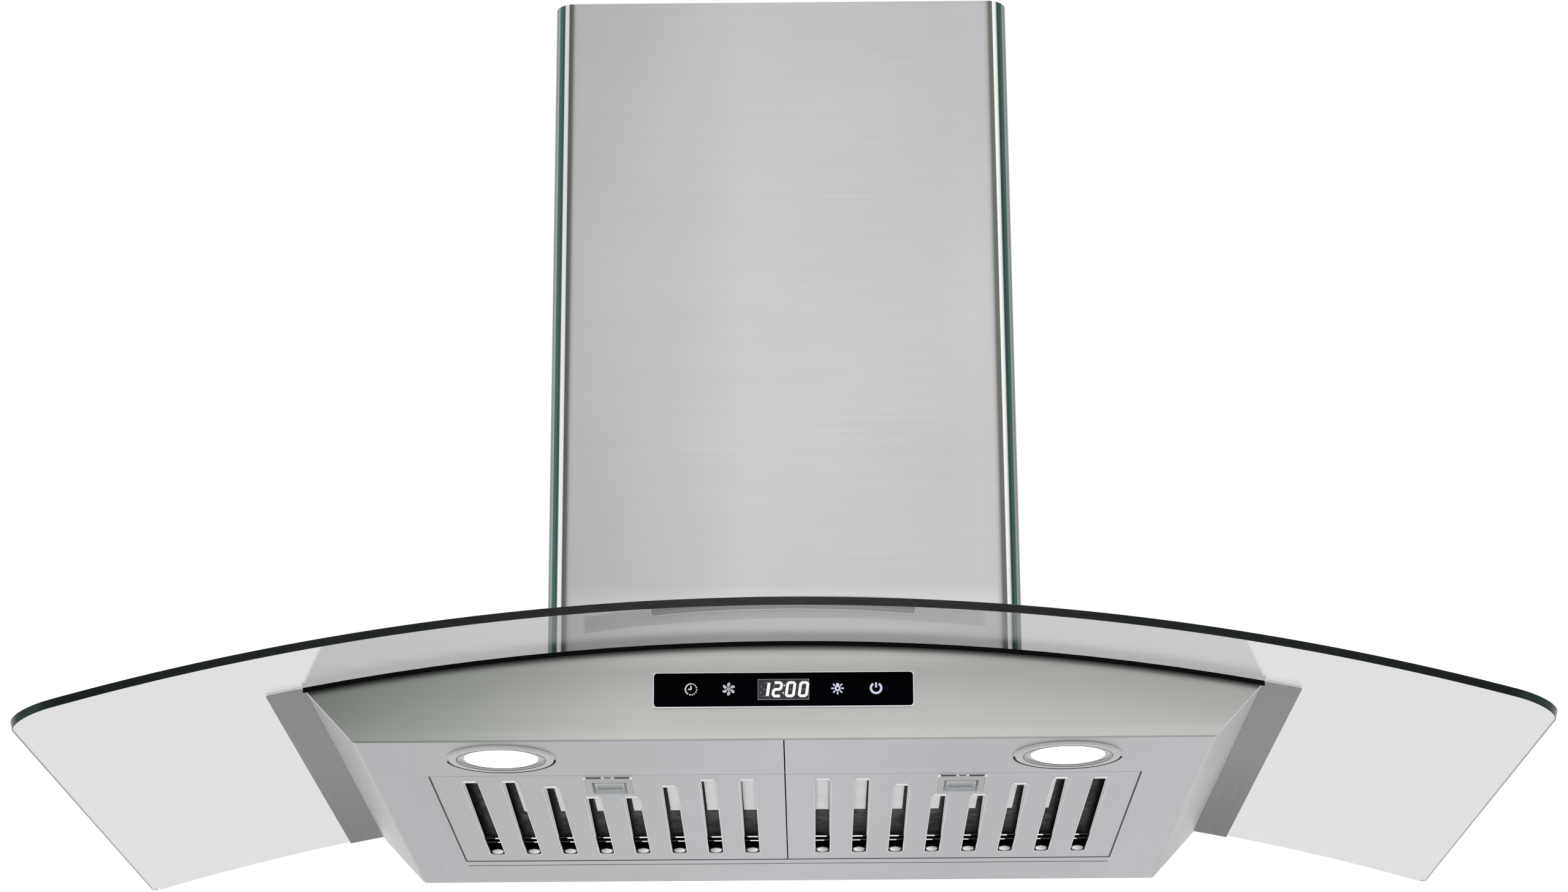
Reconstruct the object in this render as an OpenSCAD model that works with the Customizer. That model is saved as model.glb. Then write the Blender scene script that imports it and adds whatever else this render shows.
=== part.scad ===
/* [Glass canopy] */
// Width of the arched glass
glass_w = 900; // [760:10:1200]
// Depth of the glass, wall to front edge
glass_d = 500; // [450:5:600]
// Thickness of the glass
glass_t = 5; // [4:0.5:8]
// How far the arch rises above its tips
glass_rise = 66.5; // [50:0.5:90]
// How far the tips hang below the body's bottom face
tip_drop = 5.5; // [0:0.5:12]
// Plan radius of the front corners
front_corner_r = 28; // [5:1:60]
// Plan radius of the back corners
back_corner_r = 7; // [2:1:30]

/* [Body] */
// Width of the body's bottom face
body_w = 514; // [480:2:600]
// Width of the body just under the glass
shoulder_w = 576; // [540:2:680]
// Depth of the body, wall to fascia
body_d = 420; // [380:5:440]
// Thickness of the steel sheet
sheet_t = 1; // [0.8:0.1:1.5]
// Outside radius of the sheet bends
bend_r = 4; // [2:0.5:8]
// Width of each flange under the glass
flange_w = 22; // [12:1:40]
// Thickness of the rubber gasket under the glass
gasket_t = 3; // [2:0.5:5]
// Depth of the gasket along the fascia
gasket_d = 10; // [6:1:20]
// Depth of the lamp strip, fascia to filters
lamp_strip_d = 90; // [80:1:110]
// Depth of the fixed panel behind the filters
rear_panel_d = 58; // [40:1:80]
// Width of the ledge that the filters hook on
rear_ledge_w = 14; // [10:1:20]
// Gap between the ledge and the rear panel
ledge_gap = 0.8; // [0.4:0.1:1.5]

/* [Controls] */
// Width of the touch glass
panel_w = 155; // [120:1:200]
// Height of the touch glass
panel_h = 20.5; // [16:0.5:26]
// Height of the touch glass's lower edge above the bottom face
panel_up = 20.5; // [14:0.5:26]
// Thickness of the touch glass
panel_t = 2; // [1.5:0.5:4]
// Corner radius of the touch glass
panel_r = 2; // [1:0.5:4]
// Width of the bezel's visible rim
bezel_w = 1; // [0.6:0.1:2]
// How far the bezel's rim stands proud of the fascia
bezel_proud = 0.8; // [0.4:0.1:1.5]
// Width of the clock display
display_w = 31; // [24:1:40]
// Height of the clock display
display_h = 13; // [9:0.5:15]
// Depth of the clock display
display_t = 5; // [3:0.5:8]
// Thickness of the circuit board
board_t = 1.6; // [1:0.2:2.4]

/* [Lamps] */
// Distance of each lamp from the body's side
lamp_side = 85; // [70:1:100]
// Distance of the lamp centres behind the fascia
lamp_in = 41.5; // [38:0.5:48]
// Outside diameter of the lamp ring
ring_d = 66; // [60:1:72]
// Diameter of the ring's inner step
ring_step_d = 53; // [50:1:56]
// Diameter of the lens
lens_d = 45; // [38:1:47]
// How far the ring hangs below the panel
ring_drop = 1.6; // [1:0.1:3]
// Height of the lamp can above the panel
can_h = 22; // [14:1:28]
// Wall of the lamp can
can_wall = 1.5; // [1:0.1:2.5]

/* [Filters] */
// Gap around and between the filters
filter_gap = 0.8; // [0.5:0.1:1.5]
// Width of the fixed border beside each filter
border_w = 36.2; // [30:0.5:50]
// Height of a filter's rim
filter_h = 10; // [9:0.5:14]
// Thickness of a filter's sheet
filter_t = 0.8; // [0.6:0.1:1.2]
// Number of slots in a filter
slot_count = 8; // [4:1:8]
// Width of a slot
slot_w = 9.5; // [6:0.5:12]
// Distance between slots
slot_pitch = 24.75; // [22:0.25:26]
// Distance of the slots' rear ends from the filter's rear edge
slot_rear = 21; // [14:1:40]
// Distance of the outer slots' front ends from the filter's front edge
slot_front = 17; // [12:1:30]
// Distance of the slots behind a latch from its rear end
slot_latch = 11; // [8:1:30]
// How much later the slots next to the latch slots begin
slot_step = 16; // [0:1:24]
// Height of the lip folded up along each slot
slot_lip_h = 2.4; // [1:0.2:3]
// Width of a baffle channel over a slot
baffle_w = 17; // [12:0.5:20]
// Height of a baffle channel
baffle_h = 4.5; // [3:0.5:5]
// Width of a rear hook tab
tab_w = 24; // [15:1:40]
// Length of a rear hook tab
tab_l = 6; // [4:0.5:8]

/* [Latches] */
// Width of a latch body
latch_w = 29; // [26:1:36]
// Depth of a latch body
latch_d = 52; // [42:1:60]
// Width of the finger slider
slider_w = 19.4; // [16:0.2:22]
// Depth of the finger slider
slider_d = 24; // [20:0.5:25]
// Travel of the slider
latch_travel = 6; // [5.5:0.1:6.5]
// Width of the latch bolt
bolt_w = 11; // [8:0.5:14]
// Thickness of the latch bolt
bolt_t = 1.8; // [1.2:0.1:2.2]
// Reach of the bolt past the rail
bolt_reach = 3; // [2:0.25:3.5]
// Outside diameter of a latch spring
spring_d = 3.2; // [2.4:0.2:3.6]

/* [Blower] */
// Room inside the lower cover, beside the blower box
side_room = 34; // [32:0.5:40]
// Room inside the lower cover, in front of the blower box
box_room = 42.5; // [36:0.5:50]
// Height of the blower box's top above the wall holes
box_top = 95; // [90:1:120]
// Width of the box's foot flange
foot_w = 10; // [6:1:12]
// Height of the fan axis below the wall holes
fan_drop = 25; // [18:1:30]
// Distance of the fan axis from the wall
fan_y = 112; // [108:1:120]
// Outside diameter of the impeller
impeller_d = 140; // [120:2:144]
// Inside diameter of the blade ring
blade_ring_d = 112; // [104:2:114]
// Width of the impeller
impeller_w = 96; // [80:2:100]
// Number of blades
blade_count = 36; // [24:1:48]
// Smallest radius of the scroll
scroll_r = 80; // [76:1:82]
// Growth of the scroll in each quarter turn
scroll_step = 12; // [8:1:12]
// Inside width of the scroll
scroll_w = 108; // [104:2:116]
// Diameter of the scroll's inlets
inlet_d = 112; // [100:2:116]
// Diameter of the motor
motor_d = 84; // [70:1:90]
// Length of the motor
motor_l = 66; // [50:1:70]
// Diameter of the motor shaft
shaft_d = 8; // [6:0.5:10]
// Radial running clearance of the shafts and pins
run_gap = 0.05; // [0.02:0.01:0.08]

/* [Duct] */
// Outside diameter of the duct collar
collar_d = 150; // [120:1:152]
// Wall of the duct collar
collar_wall = 2; // [1.5:0.1:3]
// Height of the duct collar
collar_h = 60; // [50:1:75]
// Distance of the duct collar from the wall
collar_y = 160; // [150:1:165]
// Thickness of a damper flap
flap_t = 1.2; // [0.8:0.1:2]
// Diameter of the damper rods
rod_d = 4; // [3:0.5:5]

/* [Chimney] */
// Outside width of the lower cover
chimney_w = 304; // [304:1:320]
// Depth of the lower cover, wall to front face
chimney_d = 294; // [294:1:320]
// Height of the lower cover's top above the wall holes
chimney_top = 342; // [320:2:500]
// Thickness of the covers
cover_t = 0.8; // [0.6:0.1:1.2]
// Outside radius of the cover's front corners
cover_r = 13; // [8:1:20]
// Width of the returns at the wall
return_w = 12; // [8:1:12]
// Gap between the two covers
slide_gap = 0.7; // [0.5:0.1:1]
// Height of the upper cover's lower end above the brackets of the lower cover
upper_up = 5; // [2:1:60]

/* [Wall mounting] */
// Height of the wall holes' centre above the bottom face
hole_height = 200; // [196:1:240]
// Hole spacing across
hole_dx = 256; // [250:1:260]
// Hole spacing up and down
hole_dz = 120; // [80:2:150]
// Diameter of the wall holes
hole_d = 8; // [5:0.5:9]
// Thickness of the wall plate
plate_t = 1.5; // [1.2:0.1:3]
// Width of the wall plate
plate_w = 292; // [286:1:294]
// Height of the chimney bracket
bracket_h = 40; // [25:1:60]
// Hole spacing across the chimney bracket
bracket_dx = 200; // [120:5:220]

/* [Electric parts] */
// Width of the lamp driver and of the control box
driver_w = 46; // [30:1:50]
// Length of the lamp driver and of the control box
driver_l = 50; // [40:1:60]
// Height of the lamp driver
driver_h = 16; // [10:1:22]
// Height of the control box
control_box_h = 20; // [12:1:26]
// Diameter of the capacitor
capacitor_d = 26; // [20:1:28]
// Height of the capacitor
capacitor_h = 55; // [40:1:70]
// Width of the junction box
junction_w = 26; // [22:1:28]
// Length of the junction box
junction_l = 70; // [50:1:90]
// Height of the junction box
junction_h = 70; // [50:1:90]
// Bore of the cable gland
gland_bore = 8; // [5:0.5:10]
// Outside diameter of the gland's nut
gland_d = 17; // [14:0.5:20]
// Height of the gland's nut
gland_h = 12; // [8:1:16]

/* [Hidden] */
$fn = 96;
arch_fn = 720;
// Overlap of a cutter past the face that it cuts
e = 0.5;
// Overlap of a strip with the bend that it runs into
overlap = 0.03;
// Clearance of a curved seat, and of a sliding fit
seat_gap = 0.3;

// Heights of the body and the arch
z_body = -hole_height;
z_tip = z_body - tip_drop;
arch_r = (pow(glass_w / 2, 2) + pow(glass_rise, 2)) / (2 * glass_rise);
z_arch = z_tip + glass_rise - arch_r;
deck_r = arch_r - gasket_t;
flange_r = arch_r - seat_gap;
glass_top_r = arch_r + glass_t;
function arch_z(x, r) = z_arch + sqrt(r * r - x * x);

// Section of the leaning side wall
half_w = body_w / 2;
half_shoulder = shoulder_w / 2;
wall_rise = arch_z(half_shoulder, flange_r) - z_body;
wall_run = half_shoulder - half_w;
wall_a = atan2(wall_rise, wall_run);
bend_tan = bend_r * tan(wall_a / 2);
bend_x = half_w - bend_tan;
wall_u = [cos(wall_a), sin(wall_a)];
wall_n = [-sin(wall_a), cos(wall_a)];
wall_from = [half_w, z_body] + bend_tan * wall_u;
wall_top = wall_from + 2 * norm([wall_run, wall_rise]) * wall_u;

// Plan of the bottom face, as distances from the wall
y_fascia = -body_d;
y_inside = y_fascia + sheet_t;
y_strip = y_fascia + lamp_strip_d;
y_ledge = -rear_panel_d - ledge_gap;
y_filter_rear = y_ledge - rear_ledge_w - filter_gap / 2;
y_filter_front = y_strip + filter_gap / 2;
filter_x0 = filter_gap / 2;
filter_x1 = half_w - border_w - filter_gap / 2;
filter_w = filter_x1 - filter_x0;
filter_d = y_filter_rear - y_filter_front;
filter_mid = (filter_x0 + filter_x1) / 2;
border_x = half_w - border_w;
slot_first = filter_mid - slot_pitch * (slot_count - 1) / 2;

// Controls
z_panel = z_body + panel_up + panel_h / 2;
window_w = panel_w + 0.4;
window_h = panel_h + 0.4;
y_panel_back = y_fascia - bezel_proud + panel_t;
board_w = panel_w - 8;
board_h = panel_h - 3;
y_board = y_panel_back + display_t;
pad_d = 8;
pad_near = display_w / 2 + 17;
pad_far = pad_near + 22.5;

// Lamps
lamp_x = half_w - lamp_side;
y_lamp = y_fascia + lamp_in;
can_d = lens_d + 2 * can_wall + 2;
ring_neck_d = can_d + 2;
can_seat = 1;
lens_t = 2.5;
lens_drop = 0.4;
clip_l = 9;
clip_h = 8;
clip_t = 0.6;
clip_up = 0.2;
clip_x = ring_neck_d / 2 + 0.1;
driver_x = (board_w / 2 + lamp_x - ring_d / 2) / 2;
y_driver = y_lamp - 18;

// Front rail that the bolts catch
rail_h = 14;
z_bolt = z_body + 5.2;
rail_slot_w = bolt_w + 2 * seat_gap;
rail_slot_h = bolt_t + 2 * seat_gap;

// Latches
latch_wall = 1.7;
latch_h = 8.5;
pocket_w = slider_w + 2 * seat_gap;
pocket_d = slider_d + latch_travel + seat_gap;
y_pocket = y_filter_front + latch_d - latch_wall - pocket_d;
pocket_top = z_body + latch_h - 1;
slider_z = z_body + 0.9;
slider_t = 1.6;
dish_w = slider_w - 4;
dish_d = slider_d - 12;
dish_wall = 0.8;
block_d = 8;
z_spring = z_body + latch_h - 1 - spring_d / 2 - seat_gap;

// Blower box, on the deck behind the glass notch
y_box_back = -plate_t;
y_box_front = -chimney_d + box_room;
box_d = y_box_back - y_box_front;
box_w = chimney_w - 2 * side_room;
foot_r = deck_r + seat_gap;
notch_gap = 3;
notch_w = box_w + 2 * (foot_w + notch_gap);
notch_d = -y_box_front + foot_w + notch_gap;
notch_r = 10;
wall_lean = wall_run / wall_rise;
wall_cut = sheet_t / sin(wall_a);
deck_half = half_shoulder - (gasket_t + sheet_t) * wall_lean - wall_cut;
gasket_half = half_shoulder - gasket_t * wall_lean - wall_cut;
air_margin = 6;

// Fan
z_fan = -fan_drop;
scroll_c1 = [-scroll_step / 2, -scroll_step / 2];
scroll_c2 = [scroll_step / 2, -scroll_step / 2];
scroll_c3 = [scroll_step / 2, scroll_step / 2];
scroll_r2 = scroll_r + scroll_step;
scroll_r3 = scroll_r2 + scroll_step;
scroll_out = scroll_c3[0] + scroll_r3;
z_scroll_top = box_top - sheet_t;
scroll_half = scroll_w / 2 + sheet_t;
disc_t = 2;
hub_d = shaft_d + 16;
hub_l = 18;
motor_x1 = -hub_l / 2 - 2;
motor_x0 = motor_x1 - motor_l;
bearing_l = 22;
clamp_wall = 2;
arm_w = 12;
arm_t = 2;
bell_h = 4;
clamp_l = 10;
arm_reach = inlet_d / 2 + 17;

// Electric parts beside the blower box
y_capacitor = -90;
y_junction = -95;
lid_in = 3;
lid_t = 1.5;
gland_base_h = 5;

// Glass fixings, under the chimney
fix_d = 6;
washer_d = 15;
washer_t = 1.5;
fix_hole_d = 10;
fix_x = (notch_w / 2 + chimney_w / 2 - cover_t) / 2;
fix_front_x = 60;
y_fix = -60;
y_fix_front = -(notch_d + chimney_d - cover_t) / 2;
glass_fixings = [[-fix_x, y_fix], [fix_x, y_fix], [-fix_front_x, y_fix_front], [fix_front_x, y_fix_front]];

// Chimney
y_lower_back = -plate_t - 0.1;
upper_in = cover_t + slide_gap;
z_upper_top = chimney_top - 0.5;
bracket_t = 1.5;
bracket_in = 3.5;
bracket_drop = 12;
bracket_reach = 30;
bracket_lip = 12;
z_bracket = chimney_top - bracket_drop - bracket_h;
bracket_hole_d = 6.5;
upper_inner = chimney_w / 2 - 2 * cover_t - slide_gap;
arm_x = chimney_w / 2 - cover_t - seat_gap;
cover_arm_h = 18;
z_cover_arm = arch_z(chimney_w / 2, glass_top_r) + 5;
cover_arm_l = 23;
cover_foot_w = 15;
cover_screw_d = 4;
cover_screw_l = 6;
y_cover_screw = -16;
z_cover_screw = z_cover_arm + cover_arm_h / 2;
z_upper = z_cover_arm + cover_arm_h + upper_up;

// Damper
z_rod = box_top + collar_h / 2;
bore_r = collar_d / 2 - collar_wall;
barrel_r = rod_d / 2 + 1;
rod_x = barrel_r + 0.4;
flap_r = bore_r - 1;
ledge_in = 4;
ledge_t = 2;
rod_in = 0.3;

steel = [0.74, 0.74, 0.74];
steel_dark = [0.55, 0.55, 0.55];
black = [0.06, 0.06, 0.06];

// Draws a section given in X and Z, from y_back forwards
module along_y(y_back, length) {
    translate([0, y_back, 0]) rotate([90, 0, 0]) linear_extrude(length) children();
}

// Draws a section given in forward distance and height, centred on x
module across_x(x, length) {
    translate([x, 0, 0]) rotate([90, 0, -90]) linear_extrude(length, center = true) children();
}

module arch_disc(r) {
    translate([0, z_arch]) circle(r, $fn = arch_fn);
}

module arch_ring(r0, r1) {
    difference() {
        arch_disc(r1);
        arch_disc(r0);
    }
}

// A block that stands between x0 and x1, y0 and y1, z0 and z1
module block(x0, x1, y0, y1, z0, z1) {
    translate([x0, y0, z0]) cube([x1 - x0, y1 - y0, z1 - z0]);
}

// Mirrors a child in x and in y where the sign given is negative
module flip(sx, sy) {
    mirror([sx < 0 ? 1 : 0, 0, 0]) mirror([0, sy < 0 ? 1 : 0, 0]) children();
}

module corner_cut(r) {
    difference() {
        square(r + e);
        circle(r);
    }
}

module rounded_rect(w, h, r) {
    difference() {
        square([w, h], center = true);
        for (sx = [-1, 1], sy = [-1, 1])
            flip(sx, sy) translate([w / 2 - r, h / 2 - r]) corner_cut(r);
    }
}

// Outer outline of the body's section, without the arch
module body_outline() {
    polygon([[bend_x, z_body], wall_from, wall_top, [-wall_top[0], wall_top[1]],
        [-wall_from[0], wall_from[1]], [-bend_x, z_body]]);
    for (s = [-1, 1]) translate([s * bend_x, z_body + bend_r]) circle(bend_r);
}

module front_fascia() {
    color(steel) along_y(y_inside, sheet_t) difference() {
        intersection() {
            body_outline();
            arch_disc(deck_r);
        }
        translate([0, z_panel]) square([window_w, window_h], center = true);
    }
}

module side_section() {
    translate([border_x, z_body]) square([bend_x - border_x + overlap, sheet_t]);
    intersection() {
        translate([bend_x, z_body + bend_r]) difference() {
            circle(bend_r);
            circle(bend_r - sheet_t);
        }
        polygon([[bend_x, z_body + bend_r], [bend_x, z_body - e],
            [bend_x + 2 * bend_r, z_body - e],
            [bend_x, z_body + bend_r] - 3 * bend_r * wall_n]);
    }
    intersection() {
        polygon([wall_from, wall_top, wall_top + sheet_t * wall_n, wall_from + sheet_t * wall_n]);
        arch_disc(flange_r);
    }
    intersection() {
        arch_ring(flange_r - sheet_t, flange_r);
        translate([half_shoulder - sheet_t, z_body]) square([flange_w + sheet_t, wall_rise]);
    }
}

module side_panel() {
    color(steel) along_y(-sheet_t, body_d - 2 * sheet_t) side_section();
}

module left_side_panel() {
    mirror([1, 0, 0]) side_panel();
}

module right_side_panel() {
    side_panel();
}

// Half of the lamp strip, with a lip along the seam and one along the rail
module lamp_panel() {
    lip = 8;
    color(steel) difference() {
        union() {
            block(filter_gap / 2, border_x, y_inside, y_strip, z_body, z_body + sheet_t);
            block(filter_gap / 2, filter_gap / 2 + sheet_t, y_inside, y_strip - sheet_t,
                z_body, z_body + lip);
        }
        translate([lamp_x, y_lamp, z_body - e]) cylinder(d = ring_neck_d + 0.6, h = sheet_t + 2 * e);
    }
}

module left_lamp_panel() {
    mirror([1, 0, 0]) lamp_panel();
}

module right_lamp_panel() {
    lamp_panel();
}

module rear_panel() {
    color(steel) union() {
        block(-border_x, border_x, -rear_panel_d, -sheet_t, z_body, z_body + sheet_t);
        block(-border_x, border_x, -rear_panel_d, -rear_panel_d + sheet_t, z_body, z_body + filter_h);
    }
}

// Ledge behind the filters, joined to the rear panel's lip above the gap
module rear_ledge() {
    color(steel) union() {
        block(-border_x, border_x, y_ledge - rear_ledge_w, y_ledge, z_body, z_body + sheet_t);
        block(-border_x, border_x, y_ledge - sheet_t, y_ledge, z_body, z_body + filter_h + sheet_t);
        block(-border_x, border_x, y_ledge - sheet_t, -rear_panel_d + sheet_t,
            z_body + filter_h, z_body + filter_h + sheet_t);
    }
}

module front_rail() {
    color(steel_dark) difference() {
        union() {
            block(-border_x, border_x, y_strip - sheet_t, y_strip, z_body + sheet_t, z_body + rail_h);
            block(-border_x, border_x, y_strip - 10, y_strip, z_body + rail_h - sheet_t, z_body + rail_h);
        }
        for (s = [-1, 1])
            translate([s * filter_mid - rail_slot_w / 2, y_strip - sheet_t - e, z_bolt - seat_gap])
                cube([rail_slot_w, sheet_t + 2 * e, rail_slot_h]);
    }
}

module body_back() {
    color(steel_dark) along_y(0, sheet_t) intersection() {
        body_outline();
        arch_disc(deck_r);
    }
}

module top_deck() {
    air_w = box_w - 2 * air_margin;
    color(steel_dark) difference() {
        along_y(-sheet_t, body_d - 2 * sheet_t) intersection() {
            arch_ring(deck_r - sheet_t, deck_r);
            translate([-deck_half, z_body]) square([2 * deck_half, hole_height]);
        }
        block(-air_w / 2, air_w / 2, y_box_front + air_margin, y_box_back - air_margin,
            z_body + e, 0);
    }
}

module glass_plan() {
    difference() {
        translate([-glass_w / 2, -glass_d]) square([glass_w, glass_d]);
        for (s = [-1, 1]) {
            translate([s * (glass_w / 2 - front_corner_r), -glass_d + front_corner_r])
                flip(s, -1) corner_cut(front_corner_r);
            translate([s * (glass_w / 2 - back_corner_r), -back_corner_r])
                flip(s, 1) corner_cut(back_corner_r);
        }
        difference() {
            translate([-notch_w / 2, -notch_d]) square([notch_w, notch_d + e]);
            for (s = [-1, 1])
                translate([s * (notch_w / 2 - notch_r), -notch_d + notch_r])
                    flip(s, -1) corner_cut(notch_r);
        }
    }
}

// Places a child on the arch at x and y, standing square to it at radius r
module on_arch(x, y, r) {
    translate([0, y, z_arch]) rotate([0, asin(x / r), 0]) translate([0, 0, r]) children();
}

module glass_canopy() {
    blank_h = glass_rise + 2 * glass_t;
    color([0.55, 0.68, 0.64, 0.4]) difference() {
        intersection() {
            along_y(e, glass_d + 2 * e) intersection() {
                arch_ring(arch_r, glass_top_r);
                translate([-glass_w, z_tip - blank_h]) square([2 * glass_w, 2 * blank_h]);
            }
            translate([0, 0, z_tip - 2 * blank_h]) linear_extrude(4 * blank_h) glass_plan();
        }
        for (p = glass_fixings) on_arch(p[0], p[1], arch_r)
            translate([0, 0, -e]) cylinder(d = fix_hole_d, h = glass_t + 2 * e);
    }
}

// Strip along the fascia, with a thin front lip that covers the ends of the side walls
module glass_gasket() {
    color(black) union() {
        along_y(y_fascia + gasket_d, gasket_d) gasket_section(gasket_half);
        along_y(y_inside, sheet_t) gasket_section(half_shoulder);
    }
}

module gasket_section(half) {
    skin = 0.05;
    intersection() {
        arch_ring(deck_r + skin, arch_r - skin);
        translate([-half, z_body]) square([2 * half, glass_rise]);
    }
}

module glass_washers() {
    color(black) for (p = glass_fixings) on_arch(p[0], p[1], glass_top_r)
        translate([0, 0, seat_gap]) difference() {
            cylinder(d = washer_d, h = washer_t);
            translate([0, 0, -e]) cylinder(d = fix_d + 0.4, h = washer_t + 2 * e);
        }
}

module glass_screws() {
    head_d = fix_d + 5;
    head_h = 3;
    shank_l = washer_t + glass_t + gasket_t;
    color(steel) for (p = glass_fixings) on_arch(p[0], p[1], glass_top_r)
        translate([0, 0, seat_gap + washer_t]) {
            cylinder(d = head_d, h = head_h);
            translate([0, 0, -shank_l]) cylinder(d = fix_d, h = shank_l + e);
        }
}

module control_bezel() {
    color([0.72, 0.73, 0.74]) translate([0, 0, z_panel]) along_y(y_fascia, bezel_proud) difference() {
        rounded_rect(panel_w + 2 * bezel_w, panel_h + 2 * bezel_w, panel_r + bezel_w);
        rounded_rect(panel_w + 0.2, panel_h + 0.2, panel_r);
    }
}

module control_glass() {
    color(black) translate([0, 0, z_panel]) along_y(y_panel_back, panel_t)
        rounded_rect(panel_w, panel_h, panel_r);
}

module clock_display() {
    color([0.3, 0.32, 0.33]) translate([0, 0, z_panel])
        translate([-display_w / 2, y_panel_back, -display_h / 2]) cube([display_w, display_t, display_h]);
}

module touch_board() {
    color([0.08, 0.3, 0.14]) union() {
        translate([-board_w / 2, y_board, z_panel - board_h / 2]) cube([board_w, board_t, board_h]);
        for (s = [-1, 1], x = [pad_near, pad_far]) translate([s * x, y_board, z_panel])
            rotate([90, 0, 0]) cylinder(d = pad_d, h = display_t - seat_gap);
    }
}

// Trim ring with a stepped face, and a neck through the panel
module lamp_ring(s) {
    lens_r = lens_d / 2 + seat_gap;
    step_r = ring_step_d / 2;
    step_z = -0.45 * ring_drop;
    neck_top = sheet_t + 2;
    color([0.8, 0.8, 0.8]) translate([s * lamp_x, y_lamp, z_body]) rotate_extrude() polygon([
        [lens_r, step_z], [step_r, step_z], [step_r + 0.6, -ring_drop],
        [ring_d / 2 - 1.2, -ring_drop], [ring_d / 2, -0.3], [ring_d / 2, 0], [ring_neck_d / 2, 0],
        [ring_neck_d / 2, neck_top], [can_d / 2 + run_gap, neck_top], [can_d / 2 + run_gap, can_seat],
        [lens_r, can_seat]]);
}

module left_lamp_ring() {
    lamp_ring(-1);
}

module right_lamp_ring() {
    lamp_ring(1);
}

module lamp_lens(s) {
    lip_z = lens_t - 1.1;
    color([1, 1, 1]) translate([s * lamp_x, y_lamp, z_body - lens_drop]) union() {
        cylinder(d = lens_d, h = lip_z + e);
        translate([0, 0, lip_z]) cylinder(d = lens_d + 1.6, h = lens_t - lip_z);
    }
}

module left_lamp_lens() {
    lamp_lens(-1);
}

module right_lamp_lens() {
    lamp_lens(1);
}

module lamp_can(s) {
    h = sheet_t + can_h - can_seat;
    fin_gap = 0.8;
    fin_count = 5;
    fin_pitch = 0.08 * h;
    color([0.7, 0.7, 0.7]) translate([s * lamp_x, y_lamp, z_body + can_seat]) difference() {
        cylinder(d = can_d, h = h);
        translate([0, 0, -e]) cylinder(d = lens_d + 2, h = lens_t + e);
        translate([0, 0, -e]) cylinder(d = lens_d - 2, h = h / 2 + e);
        for (i = [1:fin_count]) translate([0, 0, h / 2 + i * fin_pitch]) difference() {
            cylinder(d = can_d + 2 * e, h = fin_gap);
            cylinder(d = can_d - 5, h = fin_gap);
        }
    }
}

module left_lamp_can() {
    lamp_can(-1);
}

module right_lamp_can() {
    lamp_can(1);
}

// Spring clips that pull each ring against its panel
module lamp_clips() {
    color(steel) for (s = [-1, 1], c = [-1, 1])
        translate([s * lamp_x, y_lamp, z_body + sheet_t + clip_up]) flip(c, 1) {
            translate([clip_x, -clip_h / 2, 0]) cube([clip_t, clip_h, clip_h]);
            translate([clip_x, -clip_h / 2, 0]) cube([clip_l, clip_h, clip_t]);
        }
}

// Power supply of the lamps, with its feet, on the right lamp panel
module lamp_driver() {
    foot = 5;
    foot_t = 2;
    color([0.9, 0.9, 0.88]) translate([driver_x - driver_w / 2, y_driver, z_body + sheet_t]) union() {
        cube([driver_w, driver_l, driver_h]);
        translate([foot, -foot, 0]) cube([driver_w - 2 * foot, driver_l + 2 * foot, foot_t]);
    }
}

// Box of the control electronics, with its lid, on the left lamp panel
module control_box() {
    lid_in = 4;
    lid_t = 1.5;
    color([0.12, 0.12, 0.12]) translate([-driver_x - driver_w / 2, y_driver, z_body + sheet_t]) union() {
        cube([driver_w, driver_l, control_box_h]);
        translate([lid_in, lid_in, control_box_h])
            cube([driver_w - 2 * lid_in, driver_l - 2 * lid_in, lid_t]);
    }
}

// Distance of slot i's front end from the filter's front edge
function near_latch(i) = abs(i - (slot_count - 1) / 2);
function slot_start(i) = near_latch(i) < 1 ? y_filter_front + latch_d + slot_latch
    : y_filter_front + slot_front + (near_latch(i) < 2 ? slot_step : 0);

// Slot i grown by g all round: square in front, round behind
module slot_shape(i, g) {
    y0 = slot_start(i) - g;
    y1 = y_filter_rear - slot_rear - slot_w / 2;
    translate([slot_first + i * slot_pitch, 0]) {
        translate([-slot_w / 2 - g, y0]) square([slot_w + 2 * g, y1 - y0]);
        translate([0, y1]) circle(slot_w / 2 + g);
    }
}

module latch_plan(g) {
    translate([filter_mid - latch_w / 2 - g, y_filter_front + filter_t])
        square([latch_w + 2 * g, latch_d + g]);
}

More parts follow.
